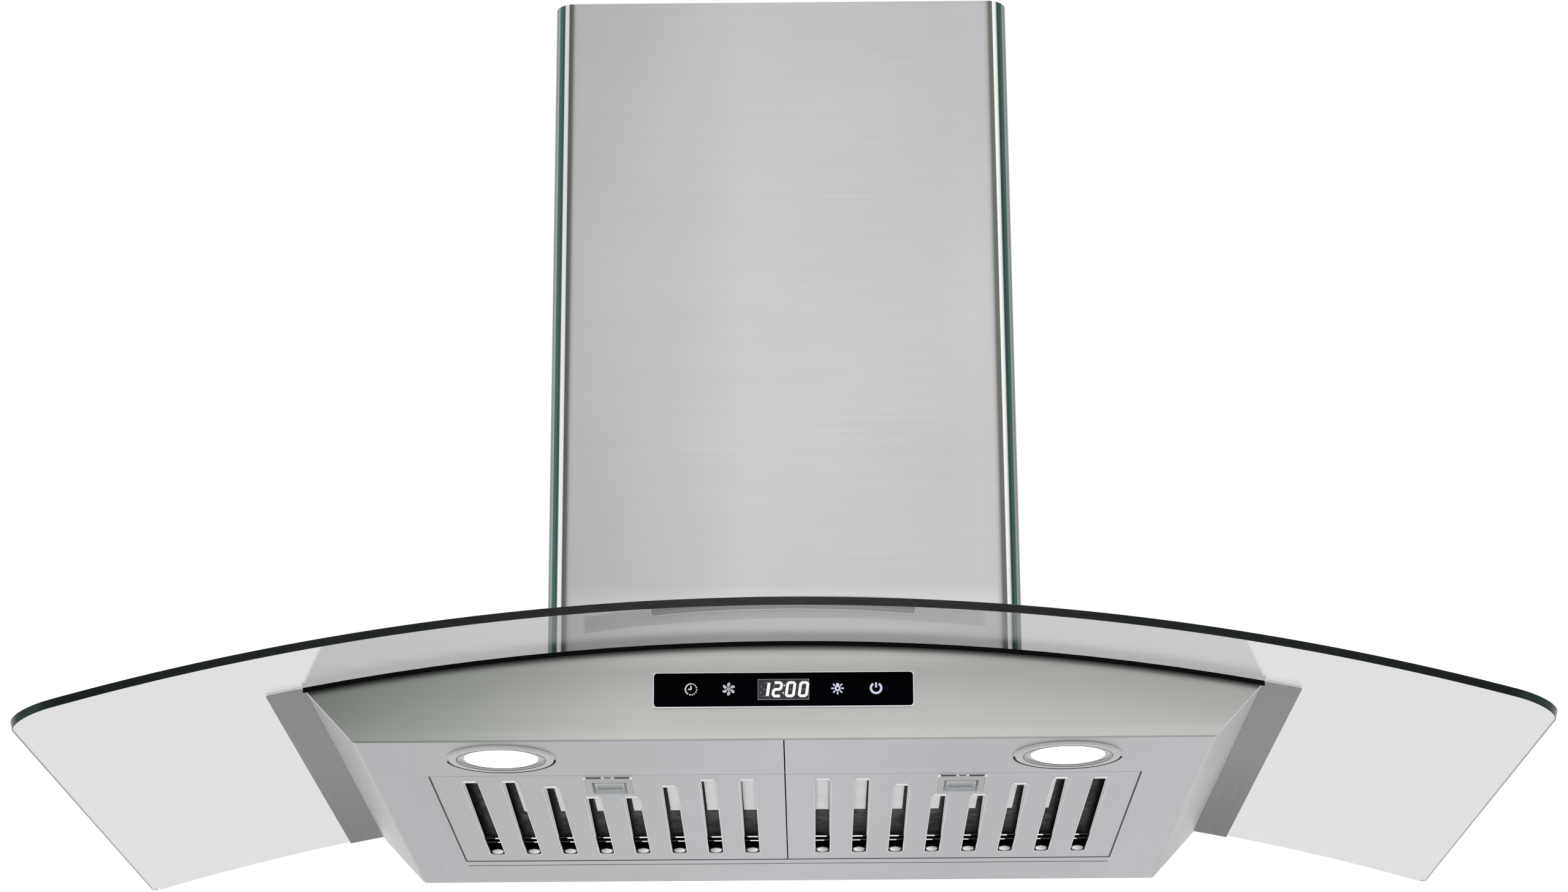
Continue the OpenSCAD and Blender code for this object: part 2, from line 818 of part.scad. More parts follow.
// Slotted tray of a filter, with hook tabs behind and a bolt hole in front
module filter_face() {
    tab_z = z_body + sheet_t + seat_gap;
    color([0.72, 0.73, 0.75]) difference() {
        union() {
            translate([0, 0, z_body]) linear_extrude(filter_h)
                translate([filter_x0, y_filter_front]) square([filter_w, filter_d]);
            for (x = [filter_x0 + filter_w * 0.2, filter_x1 - filter_w * 0.2])
                block(x - tab_w / 2, x + tab_w / 2, y_filter_rear - filter_t, y_filter_rear + tab_l,
                    tab_z, tab_z + filter_t);
        }
        translate([0, 0, z_body + filter_t]) linear_extrude(filter_h)
            translate([filter_x0 + filter_t, y_filter_front + filter_t])
                square([filter_w - 2 * filter_t, filter_d - 2 * filter_t]);
        translate([0, 0, z_body - e]) linear_extrude(filter_t + 2 * e) {
            for (i = [0:slot_count - 1]) slot_shape(i, 0);
            latch_plan(0);
        }
        translate([filter_mid - rail_slot_w / 2, y_filter_front - e, z_bolt - seat_gap])
            cube([rail_slot_w, filter_t + 2 * e, rail_slot_h]);
    }
    color([0.8, 0.81, 0.83]) translate([0, 0, z_body + filter_t]) linear_extrude(slot_lip_h - filter_t)
        for (i = [0:slot_count - 1]) difference() {
            slot_shape(i, filter_t);
            slot_shape(i, 0);
        }
}

module left_filter_face() {
    mirror([1, 0, 0]) filter_face();
}

module right_filter_face() {
    filter_face();
}

// Inverted channels over the slots, tied by two cross bars
module filter_baffle() {
    z1 = z_body + filter_h - 0.5;
    z0 = z1 - baffle_h;
    y1 = y_filter_rear - filter_t - 6;
    bar_w = 10;
    color(steel_dark) {
        for (i = [0:slot_count - 1]) {
            x = slot_first + i * slot_pitch;
            y0 = near_latch(i) < 1 ? slot_start(i) - 3 : y_filter_front + 10;
            difference() {
                block(x - baffle_w / 2, x + baffle_w / 2, y0, y1, z0, z1);
                block(x - baffle_w / 2 + filter_t, x + baffle_w / 2 - filter_t, y0 - e, y1 + e,
                    z0 - e, z1 - filter_t);
            }
        }
        for (y = [y_filter_front + latch_d + 12, y1 - bar_w])
            block(filter_x0 + filter_t, filter_x1 - filter_t, y, y + bar_w, z1 - filter_t, z1);
    }
}

module left_filter_baffle() {
    mirror([1, 0, 0]) filter_baffle();
}

module right_filter_baffle() {
    filter_baffle();
}

// Moulded latch body, with a pocket that opens downwards and a bolt way
module latch_body() {
    color([0.75, 0.76, 0.78]) difference() {
        translate([0, 0, z_body]) linear_extrude(latch_h) latch_plan(-seat_gap / 3);
        block(filter_mid - pocket_w / 2, filter_mid + pocket_w / 2, y_pocket, y_pocket + pocket_d,
            z_body - e, pocket_top);
        block(filter_mid - bolt_w / 2 - seat_gap, filter_mid + bolt_w / 2 + seat_gap, y_filter_front,
            y_pocket + e, z_bolt - seat_gap, z_bolt + bolt_t + seat_gap);
    }
}

module left_latch_body() {
    mirror([1, 0, 0]) latch_body();
}

module right_latch_body() {
    latch_body();
}

// Finger slider: a plate with a dish for the fingertip, and the bolt above it
module latch_slider() {
    y0 = y_pocket + seat_gap;
    dish_y = y0 + slider_d - dish_d - 2;
    dish_top = z_spring - spring_d / 2 - seat_gap;
    x0 = filter_mid - slider_w / 2;
    color([0.62, 0.63, 0.65]) difference() {
        union() {
            translate([x0, y0, slider_z]) cube([slider_w, slider_d, slider_t]);
            block(filter_mid - dish_w / 2 - dish_wall, filter_mid + dish_w / 2 + dish_wall,
                dish_y - dish_wall, dish_y + dish_d + dish_wall, slider_z, dish_top);
            block(filter_mid - bolt_w / 2, filter_mid + bolt_w / 2, y0, y0 + block_d,
                slider_z, pocket_top - seat_gap);
            block(filter_mid - bolt_w / 2, filter_mid + bolt_w / 2, y_strip - sheet_t - bolt_reach, y0 + e,
                z_bolt, z_bolt + bolt_t);
        }
        block(filter_mid - dish_w / 2, filter_mid + dish_w / 2, dish_y, dish_y + dish_d,
            slider_z - e, dish_top - dish_wall);
    }
}

module left_latch_slider() {
    mirror([1, 0, 0]) latch_slider();
}

module right_latch_slider() {
    latch_slider();
}

// Coil spring between the slider's block and the pocket's rear wall
module latch_spring() {
    y0 = y_pocket + seat_gap + block_d;
    y1 = y_pocket + pocket_d;
    color(steel) translate([filter_mid, y1, z_spring]) rotate([90, 0, 0]) difference() {
        cylinder(d = spring_d, h = y1 - y0, $fn = 32);
        translate([0, 0, -e]) cylinder(d = spring_d - 1, h = y1 - y0 + 2 * e, $fn = 32);
    }
}

module left_latch_spring() {
    mirror([1, 0, 0]) latch_spring();
}

module right_latch_spring() {
    latch_spring();
}

// Wall plate behind the blower, with the four fixing holes
module wall_plate() {
    neck_w = notch_w - 2 * notch_gap;
    z_wide = z_arch + glass_top_r + notch_gap;
    color(steel_dark) along_y(0, plate_t) difference() {
        union() {
            translate([-neck_w / 2, z_body]) square([neck_w, z_wide - z_body + e]);
            translate([-plate_w / 2, z_wide]) square([plate_w, box_top - z_wide]);
        }
        arch_disc(deck_r + seat_gap);
        for (sx = [-1, 1], sz = [-1, 1]) translate([sx * hole_dx / 2, sz * hole_dz / 2]) circle(d = hole_d);
    }
}

// Folded box over the fan, open below, with a foot flange on the deck
module blower_box() {
    z0 = z_body;
    color(steel_dark) difference() {
        union() {
            block(-box_w / 2, box_w / 2, y_box_front, y_box_back, z0, box_top);
            intersection() {
                along_y(y_box_back, box_d + foot_w) arch_ring(foot_r, foot_r + sheet_t);
                block(-box_w / 2 - foot_w, box_w / 2 + foot_w, y_box_front - foot_w, y_box_back, z0, 0);
            }
        }
        block(-box_w / 2 + sheet_t, box_w / 2 - sheet_t, y_box_front + sheet_t, y_box_back + e,
            z0 - e, box_top - sheet_t);
        translate([0, -collar_y, box_top - sheet_t - e]) cylinder(r = bore_r, h = sheet_t + 2 * e);
        along_y(e, glass_d) arch_disc(foot_r);
    }
}

// Outline of the scroll drawn in by g, open at the top when g is above 0
module scroll_outline(g) {
    top = z_scroll_top - z_fan + (g > 0 ? e : 0);
    big = 2 * scroll_r3;
    intersection() {
        translate(scroll_c1) circle(scroll_r - g);
        translate([-big + scroll_c1[0], scroll_c1[1]]) square(big);
    }
    intersection() {
        translate(scroll_c2) circle(scroll_r2 - g);
        translate([-big + scroll_c2[0], -big + scroll_c2[1]]) square(big);
    }
    intersection() {
        translate(scroll_c3) circle(scroll_r3 - g);
        translate([scroll_c3[0], -big + scroll_c3[1]]) square(big);
    }
    translate([scroll_c1[0] + g, scroll_c1[1] - e])
        square([scroll_out - scroll_c1[0] - 2 * g, top - scroll_c1[1] + e]);
    translate([scroll_c1[0] - e, scroll_c1[1] - e]) square([2 * e + g, scroll_r - g + e]);
}

module blower_scroll() {
    color([0.2, 0.2, 0.22]) translate([0, -fan_y, z_fan]) difference() {
        across_x(0, 2 * scroll_half) scroll_outline(0);
        across_x(0, 2 * scroll_half - 2 * sheet_t) scroll_outline(sheet_t);
        rotate([0, 90, 0]) cylinder(d = inlet_d, h = 3 * scroll_half, center = true);
    }
}

// Bell mouths on the two inlets
module inlet_rings() {
    color([0.3, 0.3, 0.32]) for (s = [-1, 1]) translate([s * scroll_half, -fan_y, z_fan])
        rotate([0, s * 90, 0]) rotate_extrude() difference() {
            translate([inlet_d / 2, 0]) square([2 * bell_h, bell_h]);
            translate([inlet_d / 2 - 0.1, bell_h + 0.1]) circle(bell_h);
        }
}

module impeller() {
    blade_l = (impeller_d - blade_ring_d) / 2 + 1;
    blade_r = (impeller_d + blade_ring_d) / 4;
    color([0.25, 0.26, 0.28]) translate([0, -fan_y, z_fan]) {
        across_x(0, impeller_w - 4) for (i = [0:blade_count - 1]) rotate(360 * i / blade_count)
            translate([blade_r, 0]) rotate(32) square([blade_l, 1.2], center = true);
        for (s = [-1, 1]) across_x(s * (impeller_w / 2 - 1.5), 3) difference() {
            circle(d = impeller_d);
            circle(d = blade_ring_d + 4);
        }
        across_x(0, disc_t) difference() {
            circle(d = impeller_d - 2);
            circle(d = shaft_d);
        }
        across_x(0, hub_l) difference() {
            circle(d = hub_d);
            circle(d = shaft_d);
        }
    }
}

module fan_shaft() {
    x0 = motor_x1 - bearing_l + 1;
    x1 = hub_l / 2 + 6;
    color(steel) translate([x0, -fan_y, z_fan]) rotate([0, 90, 0]) cylinder(d = shaft_d, h = x1 - x0);
}

module fan_motor() {
    color([0.45, 0.46, 0.48]) translate([motor_x0, -fan_y, z_fan]) rotate([0, 90, 0]) difference() {
        union() {
            cylinder(d = motor_d, h = motor_l - 8);
            cylinder(d = motor_d - 14, h = motor_l - 4);
            cylinder(d = shaft_d + 14, h = motor_l);
        }
        translate([0, 0, motor_l - bearing_l]) cylinder(r = shaft_d / 2 + run_gap, h = bearing_l + e);
    }
}

// Three-armed bracket that holds the motor in the left inlet
module motor_bracket() {
    x1 = -scroll_half - bell_h - 0.2;
    x0 = x1 - clamp_l;
    color(steel_dark) translate([0, -fan_y, z_fan]) difference() {
        union() {
            translate([x0, 0, 0]) rotate([0, 90, 0]) cylinder(d = motor_d + 2 * clamp_wall, h = clamp_l);
            for (a = [30, 150, 270]) rotate([a, 0, 0]) {
                block(x1 - arm_t, x1, -arm_w / 2, arm_w / 2, motor_d / 2, arm_reach);
                block(x1 - arm_t, -scroll_half, -arm_w / 2, arm_w / 2, arm_reach - arm_t, arm_reach);
            }
        }
        translate([x0 - e, 0, 0]) rotate([0, 90, 0])
            cylinder(d = motor_d + 2 * run_gap, h = clamp_l + 2 * e);
    }
}

// Run capacitor, on the left side of the blower box
module capacitor() {
    cap_h = 4;
    color([0.85, 0.85, 0.83]) translate([-box_w / 2 - capacitor_d / 2 - 0.2, y_capacitor, 0]) union() {
        cylinder(d = capacitor_d, h = capacitor_h);
        translate([0, 0, capacitor_h]) cylinder(d = capacitor_d - 8, h = cap_h);
    }
}

// Junction box with its lid, on the right side of the blower box
module junction_box() {
    x0 = box_w / 2;
    x1 = x0 + junction_w;
    y0 = y_junction - junction_l / 2;
    y1 = y_junction + junction_l / 2;
    color([0.16, 0.16, 0.17]) difference() {
        union() {
            block(x0, x1, y0, y1, 0, junction_h);
            block(x0 + lid_in, x1 - lid_in, y0 + lid_in, y1 - lid_in, junction_h, junction_h + lid_t);
        }
        translate([(x0 + x1) / 2, y_junction, junction_h - 2 * gland_h])
            cylinder(d = gland_bore + 4, h = 2 * gland_h + lid_t + e);
    }
}

// Gland on the junction box: the mains lead leaves through its bore
module cable_gland() {
    x = (box_w + junction_w) / 2;
    color([0.1, 0.1, 0.1]) translate([x, y_junction, junction_h + lid_t]) difference() {
        union() {
            cylinder(d = gland_d + 3, h = gland_base_h, $fn = 6);
            translate([0, 0, gland_base_h]) cylinder(d = gland_d, h = gland_h);
        }
        translate([0, 0, -e]) cylinder(d = gland_bore, h = gland_base_h + gland_h + 2 * e);
    }
}

module duct_collar() {
    color([0.15, 0.15, 0.16]) translate([0, -collar_y, box_top]) difference() {
        union() {
            cylinder(d = collar_d + 16, h = ledge_t);
            cylinder(d = collar_d, h = collar_h);
        }
        difference() {
            translate([0, 0, -e]) cylinder(r = bore_r, h = collar_h + 2 * e);
            translate([0, 0, collar_h / 2 - flap_t / 2 - seat_gap - ledge_t]) damper_ledge();
        }
        for (s = [-1, 1]) translate([s * rod_x, 0, collar_h / 2]) rotate([90, 0, 0])
            cylinder(r = rod_d / 2 + run_gap, h = 2 * collar_d, center = true);
    }
}

// Ledge inside the collar that the flaps rest on, left out where their rods cross
module damper_ledge() {
    gap_w = 4 * rod_x + 2 * barrel_r;
    difference() {
        cylinder(r = bore_r + e, h = ledge_t);
        translate([0, 0, -e]) cylinder(r = bore_r - ledge_in, h = ledge_t + 2 * e);
        translate([-gap_w / 2, -collar_d, -e]) cube([gap_w, 2 * collar_d, ledge_t + 2 * e]);
    }
}

// Half-round flap with its rod, which turns in the collar
module damper_flap() {
    barrel_l = 2 * (bore_r - 6);
    color([0.7, 0.7, 0.72]) translate([0, -collar_y, z_rod]) {
        translate([0, 0, -flap_t / 2]) linear_extrude(flap_t) intersection() {
            circle(flap_r);
            translate([rod_x, -flap_r]) square([flap_r, 2 * flap_r]);
        }
        translate([rod_x, 0, 0]) rotate([90, 0, 0]) {
            cylinder(r = barrel_r, h = barrel_l, center = true);
            cylinder(d = rod_d, h = collar_d - 2 * rod_in, center = true);
        }
    }
}

module left_damper_flap() {
    mirror([1, 0, 0]) damper_flap();
}

module right_damper_flap() {
    damper_flap();
}

// Outline of a cover drawn in by g, open at the wall
module cover_plan(g, back) {
    r = cover_r - g;
    w = chimney_w - 2 * g;
    difference() {
        translate([-w / 2, -chimney_d + g]) square([w, chimney_d - g + back]);
        for (s = [-1, 1])
            translate([s * (w / 2 - r), -chimney_d + g + r]) flip(s, -1) corner_cut(r);
    }
}

// Section of a cover: three sides and two returns at the wall
module cover_section(g, back) {
    difference() {
        cover_plan(g, back);
        cover_plan(g + cover_t, back - cover_t);
        translate([-chimney_w / 2 + g + return_w, back - 2 * cover_t])
            square([chimney_w - 2 * g - 2 * return_w, 4 * cover_t]);
    }
}

module chimney_lower() {
    color(steel) difference() {
        translate([0, 0, z_body]) linear_extrude(chimney_top - z_body) cover_section(0, y_lower_back);
        along_y(e, chimney_d + 2 * e) arch_disc(glass_top_r + seat_gap);
        for (s = [-1, 1]) translate([s * chimney_w / 2, y_cover_screw, z_cover_screw])
            rotate([0, 90, 0]) cylinder(d = cover_screw_d + 0.4, h = 6, center = true);
    }
}

module chimney_upper() {
    color(steel) translate([0, 0, z_upper]) linear_extrude(z_upper_top - z_upper)
        cover_section(upper_in, y_lower_back - upper_in);
}

// Section of half the chimney bracket: it steps round the covers' returns
module bracket_section() {
    web_x = chimney_w / 2 - upper_in - return_w - 2;
    tip_x = upper_inner - seat_gap;
    translate([0, -bracket_t]) square([web_x, bracket_t]);
    translate([web_x - bracket_t, -bracket_reach]) square([bracket_t, bracket_reach]);
    translate([web_x - bracket_t, -bracket_reach]) square([tip_x - web_x + bracket_t, bracket_t]);
    translate([tip_x - bracket_t, -bracket_reach - bracket_lip])
        square([bracket_t, bracket_lip + bracket_t]);
}

module chimney_bracket() {
    color(steel_dark) difference() {
        translate([0, 0, z_bracket]) linear_extrude(bracket_h) {
            bracket_section();
            mirror([1, 0]) bracket_section();
        }
        for (s = [-1, 1]) translate([s * bracket_dx / 2, -bracket_t - e, z_bracket + bracket_h / 2])
            rotate([-90, 0, 0]) cylinder(d = bracket_hole_d, h = bracket_t + 2 * e);
    }
}

// Angles on the wall plate that the lower cover is screwed to
module cover_brackets() {
    y0 = -plate_t;
    x_web = chimney_w / 2 - return_w - 3;
    color(steel_dark) for (s = [-1, 1]) flip(s, 1) difference() {
        translate([0, 0, z_cover_arm]) linear_extrude(cover_arm_h) {
            translate([x_web - cover_foot_w, y0 - bracket_t]) square([cover_foot_w, bracket_t]);
            translate([x_web - bracket_t, y0 - bracket_in]) square([bracket_t, bracket_in]);
            translate([x_web - bracket_t, y0 - bracket_in]) square([arm_x - x_web + bracket_t, bracket_t]);
            translate([arm_x - bracket_t, y0 - cover_arm_l])
                square([bracket_t, cover_arm_l - bracket_in + bracket_t]);
        }
        translate([arm_x, y_cover_screw, z_cover_screw]) rotate([0, 90, 0])
            cylinder(d = cover_screw_d, h = 4 * bracket_t, center = true);
    }
}

module cover_screws() {
    color([0.85, 0.85, 0.85]) for (s = [-1, 1])
        translate([s * chimney_w / 2, y_cover_screw, z_cover_screw]) rotate([0, s * 90, 0]) {
            cylinder(d = cover_screw_d + 3.5, h = 1.6);
            translate([0, 0, -cover_screw_l]) cylinder(d = cover_screw_d, h = cover_screw_l + e);
        }
}

front_fascia();
left_side_panel();
right_side_panel();
left_lamp_panel();
right_lamp_panel();
rear_panel();
rear_ledge();
front_rail();
body_back();
top_deck();
glass_canopy();
glass_gasket();
glass_screws();
glass_washers();
control_bezel();
control_glass();
clock_display();
touch_board();
left_lamp_ring();
right_lamp_ring();
left_lamp_lens();
right_lamp_lens();
left_lamp_can();
right_lamp_can();
lamp_clips();
lamp_driver();
control_box();
left_filter_face();
right_filter_face();
left_filter_baffle();
right_filter_baffle();
left_latch_body();
right_latch_body();
left_latch_slider();
right_latch_slider();
left_latch_spring();
right_latch_spring();
wall_plate();
blower_box();
blower_scroll();
inlet_rings();
impeller();
fan_shaft();
fan_motor();
motor_bracket();
capacitor();
junction_box();
cable_gland();
duct_collar();
left_damper_flap();
right_damper_flap();
chimney_lower();
chimney_upper();
chimney_bracket();
cover_brackets();
cover_screws();
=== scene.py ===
"""Looks of the wall mount range hood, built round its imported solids, in metres."""
from math import asin, cos, pi, radians, sin, tan

import bpy
from mathutils import Matrix, Vector


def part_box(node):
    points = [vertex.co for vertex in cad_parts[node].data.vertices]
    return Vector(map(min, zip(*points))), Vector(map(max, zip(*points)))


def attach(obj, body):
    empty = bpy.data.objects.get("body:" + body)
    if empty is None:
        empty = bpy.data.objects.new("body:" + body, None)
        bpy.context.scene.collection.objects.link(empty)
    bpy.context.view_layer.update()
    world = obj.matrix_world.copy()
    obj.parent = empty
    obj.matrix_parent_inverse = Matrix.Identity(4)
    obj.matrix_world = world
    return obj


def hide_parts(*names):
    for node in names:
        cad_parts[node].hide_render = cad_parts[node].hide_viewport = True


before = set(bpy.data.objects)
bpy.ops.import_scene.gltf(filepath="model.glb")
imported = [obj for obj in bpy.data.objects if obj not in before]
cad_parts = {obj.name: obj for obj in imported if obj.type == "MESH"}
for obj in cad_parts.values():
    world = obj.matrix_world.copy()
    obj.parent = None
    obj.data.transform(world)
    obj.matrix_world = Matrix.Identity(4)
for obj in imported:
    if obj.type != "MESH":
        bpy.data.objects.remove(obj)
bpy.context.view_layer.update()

MM = 0.001

# Heights and depths of the body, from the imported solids
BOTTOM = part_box("rear_panel")[0].z
FASCIA_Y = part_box("front_fascia")[0].y
PANEL_LOW, PANEL_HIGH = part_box("control_glass")
PANEL_Z = (PANEL_LOW.z + PANEL_HIGH.z) / 2
FILTER_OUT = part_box("right_filter_face")[1].x
FILTER_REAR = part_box("rear_ledge")[0].y - 0.2 * MM
LEDGE_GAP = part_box("rear_panel")[0].y - 0.4 * MM
BORDER_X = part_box("right_side_panel")[0].x
BORDER_FRONT = -329.5 * MM
SEAM = 0.5 * MM

# Centre and radius of the arch that the fascia ends at, 3 mm under the glass
ARCH_Z = -1694.79 * MM
DECK_R = 1552.79 * MM

# Outer sides of the body: the fold at the foot, the start of the flange and its front end
FOOT_X = 255.5 * MM
FLANGE_X = 286.2 * MM
FLANGE_FRONT = -418.6 * MM

# Centre of the round corners of the chimney cover, and half its width
CORNER_X = 139 * MM
CORNER_Y = -281 * MM
COVER_HALF = 152 * MM

WHITE = (1, 1, 1, 1)


# Selecting, shaping and finishing

def take(*pieces):
    """Selects these pieces alone and makes the first one active."""
    bpy.ops.object.select_all(action="DESELECT")
    for piece in pieces:
        piece.select_set(True)
    bpy.context.view_layer.objects.active = pieces[0]


def edit(piece):
    """Opens a piece for shaping."""
    take(piece)
    bpy.ops.object.mode_set(mode="EDIT")


def named(name):
    """Names the piece that an operator has just made and puts its place into its mesh."""
    piece = bpy.context.object
    piece.name = piece.data.name = name
    take(piece)
    bpy.ops.object.transform_apply(location=True, rotation=True, scale=True)
    return piece


def block(name, low, high):
    """A block between two corners, as a start to shape."""
    low, high = Vector(low), Vector(high)
    bpy.ops.mesh.primitive_cube_add(size=1, location=(low + high) / 2, scale=high - low)
    return named(name)


def drum(name, centre, radius, height, sides, rotation=(0, 0, 0)):
    """An upright drum, as a start to shape."""
    bpy.ops.mesh.primitive_cylinder_add(
        vertices=sides, radius=radius, depth=height, location=centre, rotation=rotation)
    return named(name)


def ball(name, centre, size, segments, rings):
    """A ball stretched to a size, as a start to shape."""
    bpy.ops.mesh.primitive_uv_sphere_add(
        segments=segments, ring_count=rings, radius=0.5, location=centre, scale=size)
    return named(name)


def pick_faces(piece, test):
    """Opens a piece for shaping with the faces that pass a test of middle and normal."""
    open_for(piece, "FACE", [test(face.center, face.normal) for face in piece.data.polygons])


def pick_edges(piece, test):
    """Opens a piece for shaping with the edges that pass a test of their two ends."""
    corners = piece.data.vertices
    open_for(piece, "EDGE", [test(corners[edge.vertices[0]].co, corners[edge.vertices[1]].co)
                             for edge in piece.data.edges])


def open_for(piece, kind, wanted):
    edit(piece)
    bpy.ops.mesh.select_mode(type=kind)
    bpy.ops.mesh.select_all(action="DESELECT")
    close()
    parts = piece.data.polygons if kind == "FACE" else piece.data.edges
    for part, chosen in zip(parts, wanted):
        part.select = chosen
    bpy.ops.object.mode_set(mode="EDIT")


def close():
    bpy.ops.object.mode_set(mode="OBJECT")


def draw_out(piece, test, shift):
    """Extrudes the faces that pass a test."""
    pick_faces(piece, test)
    bpy.ops.mesh.extrude_region_move(TRANSFORM_OT_translate={"value": shift})
    close()


def modify(piece, kind, **settings):
    """Adds a modifier and puts its result into the mesh."""
    take(piece)
    made = piece.modifiers.new(kind.lower(), kind)
    for key, value in settings.items():
        setattr(made, key, value)
    bpy.ops.object.modifier_apply(modifier=made.name)


def fuse(name, pieces):
    """Joins several pieces into one."""
    take(*pieces)
    bpy.ops.object.join()
    return named(name)


def move(piece, shift):
    """Moves the mesh of a piece."""
    piece.data.transform(Matrix.Translation(shift))


def add(name, data):
    """Puts data into the scene as a new object."""
    made = bpy.data.objects.new(name, data)
    bpy.context.scene.collection.objects.link(made)
    return made


def copy_to(piece, shift):
    """A copy of a piece with its own mesh, moved by a shift."""
    made = add(piece.name, piece.data.copy())
    move(made, shift)
    return made


def slice_across(piece, axis, places):
    """Cuts a piece into slices by planes across an axis, 0 for x and 1 for y."""
    edit(piece)
    normal = [0, 0, 0]
    normal[axis] = 1
    for place in places:
        bpy.ops.mesh.select_all(action="SELECT")
        bpy.ops.mesh.bisect(plane_co=[place * part for part in normal], plane_no=normal)
    close()


def wires(name, lines, radius):
    """Round wires along lines: the points of each, whether it closes, and how thick it is."""
    curve = bpy.data.curves.new(name, "CURVE")
    curve.dimensions = "3D"
    curve.bevel_depth = radius
    curve.bevel_resolution = 2
    curve.use_fill_caps = True
    for points, closes, *wide in lines:
        spline = curve.splines.new("POLY")
        spline.points.add(len(points) - 1)
        for place, point in zip(spline.points, points):
            place.co = (*point, 1)
            place.radius = wide[0] if wide else 1.0
        spline.use_cyclic_u = closes
    take(add(name, curve))
    bpy.ops.object.convert(target="MESH")
    made = named(name)
    edit(made)
    bpy.ops.mesh.select_all(action="SELECT")
    bpy.ops.mesh.remove_doubles(threshold=0.002 * MM)
    bpy.ops.mesh.normals_make_consistent(inside=False)
    close()
    return made


def mirrored(piece, name):
    """The mirror image of a piece across the middle, with its faces outwards."""
    made = copy_to(piece, (0, 0, 0))
    made.name = made.data.name = name
    made.data.transform(Matrix.Scale(-1, 4, (1, 0, 0)))
    made.data.flip_normals()
    return made


def finish_piece(piece, finish, body="root", stands_for=(), smooth=30):
    """Gives a piece its finish and body, and hides the solids it stands for."""
    take(piece)
    piece.data.materials.clear()
    piece.data.materials.append(finish)
    bpy.ops.object.shade_smooth_by_angle(angle=radians(smooth))
    if stands_for:
        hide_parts(*stands_for)
    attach(piece, body)
    return piece


# Finishes

def grey(level, alpha=1):
    return level, level, level, alpha


class Nodes:
    """Short calls for the nodes of one tree."""

    def __init__(self, tree):
        self.tree = tree

    def put(self, socket, value):
        if isinstance(value, bpy.types.NodeSocket):
            self.tree.links.new(value, socket)
        else:
            socket.default_value = value

    def node(self, kind, inputs=(), **settings):
        made = self.tree.nodes.new("ShaderNode" + kind)
        for key, value in settings.items():
            setattr(made, key, value)
        for socket, value in dict(inputs).items():
            self.put(made.inputs[socket], value)
        return made

    def maths(self, how, *values):
        return self.node("Math", dict(enumerate(values)), operation=how).outputs[0]

    def plus(self, first, second):
        return self.maths("ADD", first, second)

    def minus(self, first, second):
        return self.maths("SUBTRACT", first, second)

    def times(self, first, *others):
        for other in others:
            first = self.maths("MULTIPLY", first, other)
        return first

    def size(self, value):
        """A value without its sign."""
        return self.maths("ABSOLUTE", value)

    def near(self, value, middle, reach):
        """A mask that is one within a reach of a middle and nothing elsewhere."""
        return self.maths("COMPARE", value, middle, reach)

    def span(self, value, low, high, to_low=0.0, to_high=1.0):
        """Maps low to high onto another span, and holds its ends beyond it."""
        return self.node("MapRange", {"Value": value, "From Min": low, "From Max": high,
                                      "To Min": to_low, "To Max": to_high}).outputs[0]

    def mix(self, factor, first, second, how="MIX"):
        """The first colour where the factor is nothing and the second where it is one."""
        made = self.node("Mix", data_type="RGBA", blend_type=how)
        for socket, value in ((0, factor), (6, first), (7, second)):
            self.put(made.inputs[socket], value)
        return made.outputs[2]

    def ramp(self, value, stops):
        """Colours and their alpha by the value, from stops in rising order."""
        made = self.node("ValToRGB", {"Fac": value})
        knots = made.color_ramp.elements
        knots[0].position, knots[0].color = stops[0]
        knots[1].position, knots[1].color = stops[-1]
        for position, colour in stops[1:-1]:
            knots.new(position).color = colour
        return made.outputs

    def bounced(self):
        """A mask that is one for light that glass and steel mirror or let through."""
        ray = self.node("LightPath").outputs
        return self.maths("MAXIMUM", ray["Is Glossy Ray"], ray["Is Transmission Ray"])


